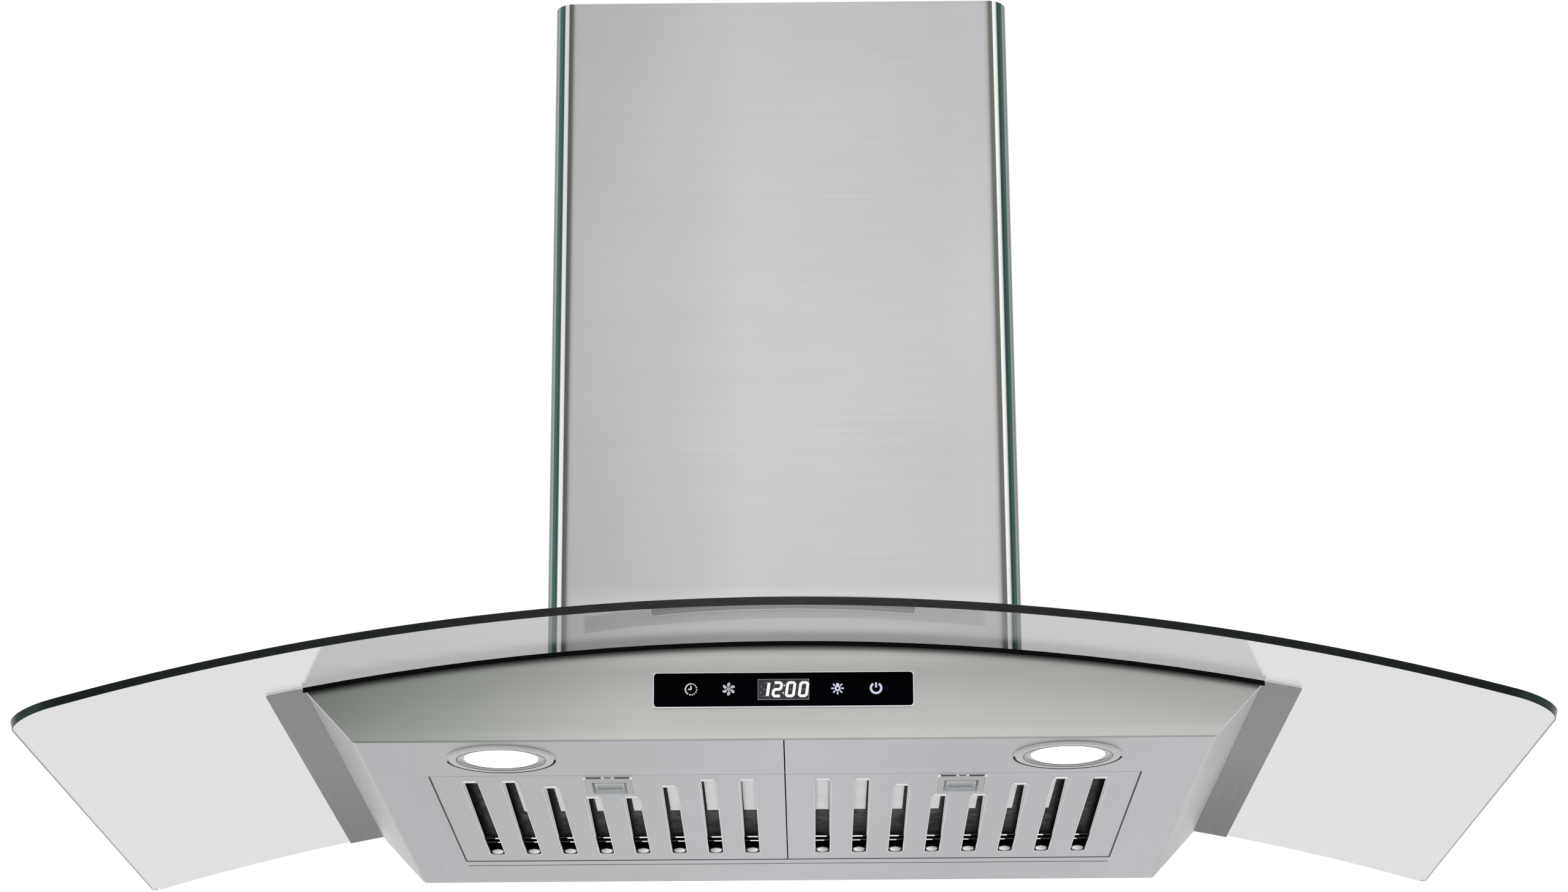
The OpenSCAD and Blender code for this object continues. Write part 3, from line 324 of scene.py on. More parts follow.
class Finish(Nodes):
    """One material, with short calls to vary it over the piece."""

    def __init__(self, name, colour, roughness, **sockets):
        self.material = bpy.data.materials.new(name)
        self.material.use_nodes = True
        self.material.diffuse_color = (*colour, 1)
        super().__init__(self.material.node_tree)
        self.shader = self.tree.nodes["Principled BSDF"]
        self.colour = (*colour, 1)
        self.roughness = roughness
        self.set("Base Color", self.colour)
        self.set("Roughness", roughness)
        for socket, value in sockets.items():
            self.set(socket.replace("_", " "), value)
        self.place = self.node("TexCoord").outputs["Object"]

    def set(self, socket, value):
        self.put(self.shader.inputs[socket], value)

    def axes(self):
        return self.node("SeparateXYZ", {0: self.place}).outputs

    def noise(self, grains, detail=3.0, rough=0.55):
        """Noise with its grains per metre, the same all ways or one number for each axis."""
        scale = grains if isinstance(grains, tuple) else (grains, grains, grains)
        spread = self.node("Mapping", {"Vector": self.place, "Scale": scale}).outputs[0]
        return self.node("TexNoise", {"Vector": spread, "Scale": 1.0, "Detail": detail,
                                      "Roughness": rough}).outputs["Fac"]

    def shade(self, factor):
        """Multiplies the colour so far by a number that varies."""
        self.colour = self.mix(1.0, self.colour, factor, "MULTIPLY")
        self.set("Base Color", self.colour)

    def fade(self, *span):
        """Multiplies the colour so far by a span from one number to another."""
        self.shade(self.span(*span))

    def tint(self, mask, factor):
        """Multiplies the colour so far by a factor where a mask is one."""
        self.fade(mask, 0.0, 1.0, 1.0, factor)

    def mottle(self, grains, low, high):
        """Multiplies the colour so far by soft clouds between two factors."""
        self.fade(self.noise(grains), 0.3, 0.7, low, high)

    def vary_roughness(self, value, amount):
        self.set("Roughness", self.span(value, 0.2, 0.8, self.roughness - amount,
                                        self.roughness + amount))

    def bump(self, height, strength, depth):
        self.set("Normal", self.node("Bump", {"Height": height, "Strength": strength,
                                              "Distance": depth}).outputs[0])


GRAIN = 0.1 * MM
BRUSHED = {"x": (9, 1300, 1300), "y": (1300, 9, 1300)}
CLOUD = 6


def brushed(name, colour, along, lines=0.06):
    """Brushed sheet, with its lines along one axis."""
    finish = Finish(name, colour, 0.34, Metallic=1.0)
    hair = finish.noise(BRUSHED[along], detail=5.0, rough=0.65)
    finish.fade(hair, 0.25, 0.75, 1 - lines, 1 + lines)
    finish.mottle(CLOUD, 0.97, 1.03)
    finish.vary_roughness(hair, 0.05)
    finish.bump(hair, 0.12, GRAIN)
    return finish


def fascia_finish():
    """Brushed sheet with a painted reflection of the green of the glass, stronger on the left,
    and painted light and shade.
    """
    finish = brushed("brushed_fascia", (0.55, 0.555, 0.53), "x")
    x, _, z = finish.axes()
    # Painted reflection: the green of the glass, stronger on the left
    left = finish.span(x, -0.285, -0.09, 1.0, 0.0)
    finish.shade(finish.mix(left, WHITE, (0.46, 0.515, 0.48, 1)))
    # Painted light: brighter high up in the middle
    top = finish.span(z, BOTTOM + 42 * MM, BOTTOM + 50 * MM)
    middle = finish.span(finish.size(x), 0.16, 0.06)
    finish.tint(finish.times(top, middle), 1.24)
    # Painted shadow under the gasket, darkest right against it
    rise = finish.minus(z, ARCH_Z)
    reach = finish.maths("SQRT", finish.plus(finish.times(x, x), finish.times(rise, rise)))
    painted_gasket_shadow = finish.ramp(finish.span(reach, DECK_R - 6.0 * MM, DECK_R), (
        (0.0, WHITE), (0.30, grey(0.90)), (0.43, grey(0.76)),
        (0.65, grey(0.40)), (0.82, grey(0.18)), (0.95, grey(0.09))))
    finish.shade(painted_gasket_shadow[0])
    # Painted light towards the bottom, then a painted shade line along the lower edge
    finish.fade(z, BOTTOM + 9 * MM, BOTTOM + 5 * MM, 1.0, 1.06)
    finish.fade(z, BOTTOM + 1.1 * MM, BOTTOM + 0.6 * MM, 1.0, 0.62)
    return finish.material


BOTTOM_COLOUR = (0.50, 0.51, 0.535)


def side_finish():
    """Brushed side sheet with painted light and shade: its foot like the bottom, its flange in
    painted shade under the glass.
    """
    finish = brushed("brushed_sides", (0.47, 0.47, 0.465), "y")
    x, y, _ = finish.axes()
    out = finish.size(x)
    # Painted light: the walls lighter further out, and the right side lighter in front and darker
    # at the rear
    finish.fade(out, 0.268, 0.285, 1.07, 1.36)
    to_rear = finish.span(y, -0.25, -0.03, 1.05, 0.80)
    finish.shade(finish.mix(finish.span(x, -0.01, 0.01), WHITE, to_rear))
    # The foot takes the bottom colour, with painted shade on the left
    left, right = ([share * part for part in BOTTOM_COLOUR] + [1] for share in (0.84, 0.97))
    foot = finish.mix(finish.span(x, -0.02, 0.02), left, right)
    finish.colour = finish.mix(finish.span(out, FOOT_X, FOOT_X + 2 * MM), foot, finish.colour)
    # Painted shade on the flange under the glass, deeper towards the rear
    deep = finish.span(y, -0.25, -0.03, 0.262, 0.135)
    finish.shade(finish.mix(finish.span(out, FLANGE_X, FLANGE_X + 0.6 * MM), WHITE, deep))
    # Painted light on the front end of the flange
    end = finish.span(y, FLANGE_FRONT, FLANGE_FRONT - 0.2 * MM)
    flange = finish.span(out, FLANGE_X + 0.8 * MM, FLANGE_X + 1.3 * MM)
    finish.tint(finish.times(end, flange), 2.2)
    # Painted shadow line in the gap beside each filter
    beside_filter = finish.near(y, -0.2015, 0.1285)
    edge = finish.span(out, BORDER_X + SEAM, BORDER_X + 0.7 * SEAM)
    finish.tint(finish.times(edge, beside_filter), 0.05)
    return finish.material


def bottom_finish(*seams):
    """Brushed bottom sheet with painted light across it, and painted shadow lines at seams given
    by depth, half width and shade.
    """
    finish = brushed("brushed_bottom", BOTTOM_COLOUR, "x", lines=0.04)
    x, y, _ = finish.axes()
    # Painted light: lightest in the middle, darker to each side and most on the left
    finish.shade(finish.ramp(finish.span(x, -0.257, 0.257), (
        (0.0, (0.84, 0.85, 0.84, 1)), (0.3, (0.88, 0.89, 0.88, 1)), (0.5, WHITE),
        (0.72, grey(0.89)), (1.0, grey(0.97))))[0])
    # Painted shadow lines in the seams
    for seam, half, shade in seams:
        finish.tint(finish.near(y, seam, half), shade)
    return finish


def filter_finish():
    """The bottom finish with a black painted shadow line down the outer edge of each filter and
    behind it.
    """
    finish = bottom_finish((FILTER_REAR, 1.5 * MM, 0.04))
    out = finish.size(finish.axes()[0])
    finish.fade(out, FILTER_OUT - SEAM, FILTER_OUT - 0.7 * SEAM, 1.0, 0.05)
    return finish.material


def cover_finish():
    """Brushed cover with painted light and shade, whose round corners carry painted reflections
    of the room in upright bands.
    """
    finish = brushed("brushed_cover", (0.465, 0.468, 0.468), "x", lines=0.05)
    x, y, z = finish.axes()
    # Painted light: a highlight a little left of the middle, darker to the upper left and lighter
    # to the lower right and at middle height
    finish.fade(finish.size(finish.plus(x, 0.025)), 0.13, 0.0, 1.0, 1.16)
    across = finish.span(x, -COVER_HALF, COVER_HALF, 0.0, 0.6)
    down = finish.span(z, 0.34, -0.12, 0.0, 0.4)
    finish.fade(finish.plus(across, down), 0.0, 1.0, 0.92, 1.22)
    finish.fade(finish.size(finish.minus(z, 0.13)), 0.17, 0.0, 1.0, 1.05)
    # Painted light low down, where the cover is seen through the glass, and painted shade at the
    # lower left
    finish.fade(z, -0.068, -0.080, 1.0, 1.18)
    finish.tint(finish.times(finish.span(z, 0.05, -0.06), finish.span(x, -0.02, -0.13)), 0.90)
    painted_cover_shade(finish, x, z)
    painted_corner_reflections(finish, x, y)
    # The painted reflection bands darker on the right corner
    finish.fade(x, CORNER_X - MM, CORNER_X + MM, 1.0, 0.80)
    return finish.material


def painted_cover_shade(finish, x, z):
    """A painted shade: the darker strip behind the front of the glass, which sags to both sides.
    """
    sag = finish.times(x, finish.minus(finish.times(x, 0.473), 0.0105))
    high = finish.near(finish.plus(z, sag), ARCH_Z + 1614.4 * MM, 5.5 * MM)
    strip = finish.times(finish.span(finish.size(x), 0.129, 0.127), high)
    finish.shade(finish.mix(strip, WHITE, finish.span(x, -0.128, 0.128, 0.66, 0.80)))


def painted_corner_reflections(finish, x, y):
    """Painted reflections: dark, green and pale bands round each front corner, fading out over
    the front.
    """
    out = finish.minus(finish.size(x), CORNER_X)
    front = finish.minus(CORNER_Y, y)
    angle = finish.maths("DIVIDE", finish.maths("ARCTAN2", front, out), pi / 2)
    fade = finish.span(out, 0.0, -12 * MM)
    along = finish.times(finish.plus(finish.span(angle, 0.0, 1.0), fade), 0.5)
    green, teal, dark = (0.30, 0.38, 0.36, 1), (0.055, 0.125, 0.11, 1), (0.045, 0.07, 0.07, 1)
    pale = (0.53, 0.56, 0.53, 1)
    colour, share = finish.ramp(along, (
        (0.0, (0.24, 0.25, 0.24, 0.6)), (0.05, grey(0.22)), (0.15, grey(0.22)),
        (0.165, green), (0.205, green), (0.220, (0.06, 0.13, 0.115, 1)), (0.280, teal),
        (0.290, dark), (0.325, dark), (0.340, pale), (0.400, pale),
        (0.415, (0.07, 0.08, 0.065, 1)), (0.470, (0.14, 0.145, 0.13, 1)),
        (0.520, grey(0.40, 0.7)), (0.62, grey(0.45, 0.15)),
        (1.0, grey(0.47, 0.0))))
    finish.colour = finish.mix(share, finish.colour, colour)


def zinc(name, colour):
    """Zinc-coated sheet with a faint spangle."""
    finish = Finish(name, colour, 0.42, Metallic=0.9)
    cells = finish.node("TexVoronoi", {"Vector": finish.place, "Scale": 130}).outputs["Color"]
    spangle = finish.node("SeparateColor", {0: cells}).outputs[0]
    finish.fade(spangle, 0.0, 1.0, 0.86, 1.12)
    finish.mottle(CLOUD, 0.94, 1.05)
    finish.vary_roughness(spangle, 0.08)
    finish.bump(finish.noise(700), 0.08, GRAIN)
    return finish


def baffle_finish():
    """Zinc on top and a dull black painted shade below, inside the channels."""
    finish = zinc("baffle_zinc", (0.42, 0.43, 0.44))
    z = finish.axes()[2]
    top = finish.span(z, BOTTOM + 8.9 * MM, BOTTOM + 9.1 * MM)
    # Painted shade below the top, in faint streaks and without the gloss of metal
    shade_streaks = finish.noise((300, 8, 300), detail=4.0)
    finish.shade(finish.mix(top, finish.span(shade_streaks, 0.4, 0.75, 0.015, 0.10), WHITE))
    finish.set("Metallic", finish.span(top, 0.0, 1.0, 0.0, 0.9))
    finish.set("Specular IOR Level", 0.04)
    return finish.material


def smooth_metal(name, colour, roughness, grain=900, mottle=0.04):
    """Bright, cast or turned metal with a fine grain."""
    finish = Finish(name, colour, roughness, Metallic=1.0)
    fine = finish.noise(grain)
    finish.fade(fine, 0.3, 0.7, 1 - mottle, 1 + mottle)
    finish.vary_roughness(finish.noise(40), 0.06)
    finish.bump(fine, 0.10, GRAIN)
    return finish.material


def bezel_finish():
    """A bright inner line on a rim of the fascia's colour."""
    finish = Finish("satin_bezel", (0.80, 0.81, 0.82), 0.24, Metallic=1.0)
    x, _, z = finish.axes()
    out = finish.minus(finish.size(x), PANEL_HIGH.x)
    up = finish.minus(finish.size(finish.minus(z, PANEL_Z)), PANEL_HIGH.z - PANEL_Z)
    away = finish.maths("MAXIMUM", out, up)
    finish.fade(away, 0.45 * MM, 0.6 * MM, 1.0, 0.68)
    fine = finish.noise(900)
    finish.vary_roughness(fine, 0.05)
    finish.bump(fine, 0.08, GRAIN)
    return finish.material


def moulded(name, colour, roughness, grain=1400, depth=0.2):
    """Moulded plastic or enamel with a fine texture and faint wear."""
    finish = Finish(name, colour, roughness)
    fine = finish.noise(grain, detail=4.0)
    finish.mottle(25, 0.93, 1.07)
    finish.vary_roughness(finish.noise(60), 0.06)
    finish.bump(fine, depth, GRAIN)
    return finish.material


def rubber_finish():
    """Black foam rubber with open pores."""
    finish = Finish("black_foam_rubber", (0.004, 0.004, 0.004), 0.85, Specular_IOR_Level=0.1)
    pores = finish.noise(900, detail=4.0)
    finish.fade(pores, 0.3, 0.7, 0.7, 1.4)
    finish.bump(pores, 0.35, 0.2 * MM)
    return finish.material


def glass_finish():
    """Clear float glass that turns black-green where light runs along it."""
    finish = Finish("clear_float_glass", (1.0, 1.0, 1.0), 0.012, IOR=1.5,
                    Transmission_Weight=1.0, Specular_IOR_Level=0.22)
    finish.vary_roughness(finish.noise(14), 0.008)
    body = finish.node("VolumeAbsorption", {"Color": (0.19, 0.212, 0.207, 1), "Density": 60.0})
    out = finish.tree.nodes["Material Output"]
    finish.put(out.inputs["Volume"], body.outputs[0])
    return finish.material


def glass_edge_finish():
    """The polished edge of the glass: black-green at the sides and greyer in the middle, where
    the grey is a painted reflection.
    """
    finish = Finish("glass_edge", (0.006, 0.010, 0.009), 0.18, Specular_IOR_Level=0.10)
    out = finish.size(finish.axes()[0])
    # Painted reflection: greyer in the middle
    finish.colour = finish.ramp(finish.span(out, 0.0, 0.45), (
        (0.0, (0.038, 0.040, 0.036, 1)), (0.45, (0.012, 0.016, 0.014, 1)),
        (0.93, (0.005, 0.010, 0.008, 1)), (1.0, (0.03, 0.075, 0.07, 1))))[0]
    finish.fade(finish.noise((60, 60, 400)), 0.3, 0.7, 0.8, 1.2)
    return finish.material


def touch_glass_finish():
    """Black glass, faintly smeared."""
    finish = Finish("black_touch_glass", (0.0004, 0.0008, 0.002), 0.10, Specular_IOR_Level=0.01)
    finish.mottle(30, 0.8, 1.2)
    finish.vary_roughness(finish.noise(80), 0.03)
    return finish.material


def lit(name, colour, strength, grain=500, body=0.02):
    """A glowing symbol, segment or lens with a fine frost; the glow is painted light where the
    part is no lamp.
    """
    finish = Finish(name, [body * part for part in colour], 0.4, Emission_Strength=strength)
    frost = finish.noise(grain)
    glow = finish.mix(finish.span(frost, 0.3, 0.7), (*colour, 1),
                      (*[0.94 * part for part in colour], 1))
    finish.set("Emission Color", glow)
    finish.bump(frost, 0.05, GRAIN)
    return finish.material


def latch_finish(name, colour, line_at, rear):
    """Silver plastic with painted light and shade: a painted shadow line round the finger slider,
    a painted shade on the rear and painted light in the pocket.
    """
    finish = Finish(name, colour, 0.34)
    low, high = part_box("right_latch_slider")
    x, y, z = finish.axes()
    off = finish.size(finish.minus(finish.size(x), (low.x + high.x) / 2))
    pocket_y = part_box("right_latch_body")[1].y - 17.5 * MM
    inside = finish.near(y, pocket_y, 15.2 * MM)
    # Painted shadow line round the slider and across its front
    front = finish.times(finish.near(y, pocket_y - 12.4 * MM, 2.9 * MM),
                         finish.near(off, 0.0, line_at * MM))
    line = finish.maths("MAXIMUM", finish.near(off, line_at * MM, 0.4 * MM), front)
    finish.tint(finish.times(line, inside), 0.15)
    # Painted shade on the rear
    finish.fade(y, high.y - 8.6 * MM, high.y - 8.2 * MM, 1.0, rear)
    # Painted light in the pocket and on its rear wall
    across = finish.near(off, 0.0, 11 * MM)
    finish.tint(finish.times(across, inside, finish.near(z, BOTTOM + 5.4 * MM, 2.6 * MM)), 3.6)
    rear_wall = finish.near(y, pocket_y + 15.4 * MM, 0.7 * MM)
    finish.tint(finish.times(across, rear_wall, finish.near(z, BOTTOM + 1.5 * MM, 1.3 * MM)), 1.7)
    finish.mottle(25, 0.95, 1.05)
    finish.vary_roughness(finish.noise(60), 0.05)
    finish.bump(finish.noise(1400, detail=4.0), 0.2, GRAIN)
    return finish.material


def slot_local(finish, x):
    """How far out a point lies from the middle of its slot, in pitches."""
    along = finish.maths("DIVIDE", finish.minus(finish.size(x), SLOT_FIRST), SLOT_PITCH)
    return finish.minus(finish.maths("FRACT", finish.plus(along, 0.5)), 0.5)


def dome_finish():
    """Polished domes with a painted highlight and painted shade: bright towards the front and the
    middle, dark behind.
    """
    finish = Finish("polished_dome", (0.90, 0.90, 0.91), 0.18, Metallic=1.0)
    x, y, _ = finish.axes()
    deep = finish.span(y, SLOT_BACK - 4.6 * MM, SLOT_BACK + 4.0 * MM)
    finish.shade(finish.ramp(deep, (
        (0.0, grey(0.75)), (0.18, WHITE), (0.42, (0.52, 0.52, 0.53, 1)),
        (0.68, (0.22, 0.22, 0.23, 1)), (1.0, (0.03, 0.03, 0.04, 1))))[0])
    finish.fade(slot_local(finish, x), -0.10, 0.17, 1.0, 0.40)
    finish.vary_roughness(finish.noise(400), 0.05)
    return finish.material


def rod_finish():
    """Polished rod with two knurled grips and a dark bar between them."""
    finish = Finish("knurled_rod", (0.86, 0.86, 0.87), 0.25, Metallic=1.0)
    x, y, _ = finish.axes()
    off = finish.size(finish.minus(finish.size(x), FILTER_MID))
    grip = finish.near(off, 8.8 * MM, 4.8 * MM)
    bar = finish.span(finish.plus(off, y), ROD_Y + 2.0 * MM, ROD_Y + 1.6 * MM)
    finish.tint(finish.maths("MAXIMUM", grip, bar), 0.10)
    knurl = finish.noise((2200, 900, 900), detail=2.0)
    finish.fade(knurl, 0.3, 0.7, 0.85, 1.1)
    finish.bump(knurl, 0.2, GRAIN)
    return finish.material


def board_finish():
    """Green solder mask with paler tracks."""
    finish = Finish("green_circuit_board", (0.02, 0.16, 0.06), 0.45)
    tracks = finish.node("TexBrick", {"Vector": finish.place, "Scale": 160.0}).outputs["Fac"]
    finish.colour = finish.mix(tracks, finish.colour, (0.05, 0.27, 0.10, 1))
    finish.set("Base Color", finish.colour)
    finish.vary_roughness(finish.noise(300), 0.05)
    return finish.material


def dress(finish, *nodes):
    """Gives solids from the frame a finish, and leaves their shapes alone."""
    for name in nodes:
        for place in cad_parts[name].material_slots:
            place.material = finish


def both(*names):
    """The names of solids that there are a left one and a right one of."""
    return [side + name for name in names for side in ("left_", "right_")]


# Glass canopy

GLASS_T = 5 * MM
NOTCH_HALF = 131 * MM
NOTCH_DEEP = 264.5 * MM
NOTCH_R = 10 * MM
FRONT_R = 28 * MM
BACK_R = 7 * MM
ARRIS = 0.6 * MM
GLASS_SLICES = 72

# The screw holes of the glass
HOLES = ((141.1 * MM, -60 * MM), (60 * MM, -278.85 * MM))
HOLE_R = 5 * MM

# Where the faces of the polished edge begin, in front and at the sides
EDGE_FRONT = -470 * MM
EDGE_SIDE = 430 * MM


def glass_canopy(finish, edge):
    """One flat sheet, cut to its plan, sliced and then bent to the arch."""
    low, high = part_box("glass_canopy")
    rise = high.z - low.z - GLASS_T
    radius = (high.x ** 2 + rise ** 2) / (2 * rise)
    half = radius * asin(high.x / (radius + GLASS_T))
    sheet = block("arched_glass", (-half, -GLASS_T, low.y), (half, 0, 0))
    round_corners(sheet, lambda a: a.z < low.y / 2, FRONT_R)
    round_corners(sheet, lambda a: a.z > -MM and abs(a.x) > half - MM, BACK_R)
    cutter = glass_cutter(radius)
    modify(sheet, "BOOLEAN", object=cutter, operation="DIFFERENCE", solver="EXACT")
    take(cutter)
    bpy.ops.object.delete()
    slice_across(sheet, 0, [-half + 2 * half * i / GLASS_SLICES for i in range(1, GLASS_SLICES)])
    modify(sheet, "BEVEL", width=ARRIS, segments=2, limit_method="ANGLE",
           angle_limit=radians(40))
    modify(sheet, "SIMPLE_DEFORM", deform_method="BEND", deform_axis="Z",
           angle=2 * half / radius)
    sheet.data.transform(Matrix.Rotation(radians(-90), 4, "X"))
    move(sheet, (0, 0, high.z - GLASS_T))
    finish_piece(sheet, finish, stands_for=("glass_canopy",), smooth=8)
    sheet.data.materials.append(edge)
    for face in sheet.data.polygons:
        middle, normal = face.center, face.normal
        front = middle.y < EDGE_FRONT and normal.y < -0.6
        outwards = normal.x * middle.x > 0.6 * abs(middle.x) and abs(normal.y) < 0.1
        if front or outwards and abs(middle.x) > EDGE_SIDE:
            face.material_index = 1


def round_corners(sheet, test, radius, segments=12):
    """Rounds the corners of a flat sheet that pass a test."""
    pick_edges(sheet, lambda a, b: abs(a.y - b.y) > GLASS_T / 2 and test(a))
    bpy.ops.mesh.bevel(offset=radius, segments=segments, affect="EDGES")
    close()


def glass_cutter(radius):
    """The notch and the screw holes, as one body to cut with."""
    notch_half = radius * asin(NOTCH_HALF / radius)
    notch = block("glass_cutter", (-notch_half, -3 * GLASS_T, -NOTCH_DEEP),
                  (notch_half, 2 * GLASS_T, 20 * MM))
    round_corners(notch, lambda a: a.z < -NOTCH_DEEP / 2, NOTCH_R, 8)
    parts = [notch]
    for x, y in HOLES:
        for side in (-1, 1):
            along = side * radius * asin(x / radius)
            parts.append(drum("screw_hole", (along, 0, y), HOLE_R, 6 * GLASS_T, 32,
                              (pi / 2, 0, 0)))
    return fuse("glass_cutter", parts)


# Lamps

LENS_R = 22.4 * MM
STEP_R = 27.1 * MM

# How far in and how far down each step of the lens goes, in millimetres
LENS_STEPS = ((0.6, 0.6), (0.8, 0.4), (2.0, 0.35), (5.0, 0.25), (6.0, 0.12), (5.0, 0.03))


def lens(side, finish):
    """A frosted lens that domes down in steps, with a pressed edge."""
    low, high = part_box(side + "_lamp_lens")
    piece = drum(side + "_frosted_lens", (low + high) / 2, LENS_R, high.z - low.z, 72)
    pick_faces(piece, lambda middle, normal: normal.z < -0.9)
    for inset, step in LENS_STEPS:
        bpy.ops.mesh.inset(thickness=inset * MM)
        bpy.ops.transform.translate(value=(0, 0, -step * MM))
    bpy.ops.mesh.inset(thickness=0.4 * MM)
    close()
    finish_piece(piece, finish, stands_for=(side + "_lamp_lens",), smooth=50)


def ellipse(x, y, across, deep, z, steps, turns=96):
    """Points on an ellipse, for those of its equal steps that are asked for."""
    angles = [2 * pi * i / turns for i in steps]
    return [(x + across * cos(a), y + deep * sin(a), z) for a in angles]


def ring_line(side, finish):
    """Dark shadow lines round the rear half of the lamp ring and round its step."""
    low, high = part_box(side + "_lamp_ring")
    x, y = (low.x + high.x) / 2, (low.y + high.y) / 2
    radius = high.x - x
    line = ellipse(x, y, radius, radius + 0.7 * MM, low.z + 0.5 * MM, range(2, 47))
    step = ellipse(x, y, STEP_R, STEP_R, low.z + 0.05 * MM, range(96))
    piece = wires(side + "_ring_line", [(line, False), (step, True, 0.35)], 0.55 * MM)
    finish_piece(piece, finish, smooth=60)


def gap_lines(finish):
    """Dark shadow lines in the gaps beside and behind the filters."""
    z = BOTTOM + 0.2 * MM
    lines = [([(x, BORDER_FRONT, z), (x, FILTER_REAR, z)], False) for x in (-BORDER_X, BORDER_X)]
    for y, wide in ((FILTER_REAR + 0.6 * MM, 1.0), (LEDGE_GAP, 0.7)):
        lines.append(([(-BORDER_X, y, z), (BORDER_X, y, z)], False, wide))
    finish_piece(wires("filter_gap_lines", lines, 0.42 * MM), finish, smooth=60)


# Controls: thin lit marks on the face of the touch glass

MARK_T = 0.08 * MM


def mark(name, lines, radius, finish):
    """Thin raised strokes in the plane of the touch glass; places are in millimetres."""
    return press_flat(mark_line(name, lines, radius), finish)


def mark_line(name, lines, radius):
    placed = [([(u * MM, 0, v * MM) for u, v in points], *rest) for points, *rest in lines]
    return wires(name, placed, radius * MM)


def press_flat(piece, finish):
    """Presses marks flat and lays them on the face of the touch glass."""
    reach = max(abs(corner.co.y) for corner in piece.data.vertices)
    piece.data.transform(Matrix.Scale(MARK_T / reach, 4, (0, 1, 0)))
    move(piece, (0, PANEL_LOW.y - MARK_T * 0.2, PANEL_Z))
    return finish_piece(piece, finish, smooth=60)


def turn(centre, radius, degrees):
    """A point on a circle, with 0 degrees at the top and clockwise on from there."""
    angle = radians(degrees)
    return centre[0] + radius * sin(angle), centre[1] + radius * cos(angle)


def arc(centre, radius, start, end, steps):
    return [turn(centre, radius, start + (end - start) * i / steps) for i in range(steps + 1)]


def clock_symbol(centre, finish):
    """A ring that breaks up into dots on the right, round two hands."""
    u, v = centre
    radius = 3.4
    ring = [(arc(centre, radius, 212, 366, 24), False)]
    dots = [(arc(centre, radius, a - 6.5, a + 6.5, 2), False)
            for a in (23, 47, 71, 96, 121, 147, 170, 192)]
    hands = [([(u - 0.1, v + 2.2), (u + 0.1, v)], False, 0.95),
             ([(u - 1.7, v), (u + 0.2, v)], False, 1.15)]
    mark("clock_symbol", ring + dots + hands, 0.40, finish)


def fan_symbol(centre, finish):
    """Six petals that turn to one side, on narrow necks."""
    turns = range(0, 360, 60)
    petals = [mark_line("necks", [([turn(centre, 0.3, a + 20), turn(centre, 1.6, a + 8)], False)
                                  for a in turns], 0.26)]
    for a in turns:
        u, v = turn(centre, 2.75, a)
        petal = ball("petal", (0, 0, 0), (1.75 * MM, 0.5 * MM, 2.75 * MM), 16, 10)
        petal.data.transform(Matrix.Rotation(radians(a + 24), 4, "Y"))
        move(petal, (u * MM, 0, v * MM))
        petals.append(petal)
    press_flat(fuse("fan_symbol", petals), finish)


def lamp_symbol(centre, finish):
    """A bulb drawn as a ring with a thick neck on top, and seven rays."""
    ring = [(arc(centre, 1.25, 0, 348, 28), True)]
    neck = [([turn(centre, 1.5, 0), turn(centre, 3.1, 0)], False, 1.7)]
    rays = [([turn(centre, 2.1, a), turn(centre, 3.8, a)], False, 0.85)
            for a in range(45, 360, 45)]
    mark("lamp_symbol", ring + neck + rays, 0.52, finish)


def power_symbol(centre, finish):
    """A bar in the gap of a ring."""
    u, v = centre
    ring = (arc(centre, 3.1, 33, 327, 40), False)
    bar = ([(u, v + 0.3), (u, v + 3.4)], False, 0.85)
    mark("power_symbol", [ring, bar], 0.68, finish)


# The window and the digits on it, in millimetres
WINDOW_U = 15.1
WINDOW_V = 6.1
CORNER_CUT = 0.9
DIGIT_HALF = 2.15
DIGIT_RISE = 4.1
DIGIT_AT = (-11.3, -3.7, 4.25, 12.0)
SLANT = tan(radians(8))
UNLIT = (((-1, 1), (1, 1)), ((-1, 0), (1, 0)), ((-1, -1), (1, -1)), ((-1, 1), (-1, 0)),
         ((-1, 0), (-1, -1)))
DIGITS = {"0": ((-1, 1), (1, 1), (1, -1), (-1, -1), (-1, 1)), "1": ((1, 1), (1, -1)),
          "2": ((-1, 1), (1, 1), (1, 0), (-1, 0), (-1, -1), (1, -1))}


def digit_path(place, knots, gap=0.0):
    """A stroke of a slanted digit with its corners cut off, short of its ends by a gap."""
    knots = [Vector((u * DIGIT_HALF, v * DIGIT_RISE)) for u, v in knots]
    ring = knots[0] == knots[-1]
    if ring:
        knots = knots[:-1]
    path = []
    for i, knot in enumerate(knots):
        before = None if i == 0 and not ring else (knots[i - 1] - knot).normalized()
        after = None if i == len(knots) - 1 and not ring else (
            knots[(i + 1) % len(knots)] - knot).normalized()
        if before is None or after is None:
            path.append(knot + (before or after) * gap)
        else:
            path += [knot + before * CORNER_CUT, knot + after * CORNER_CUT]
    return [(DIGIT_AT[place] + p.x + SLANT * p.y, p.y) for p in path], ring


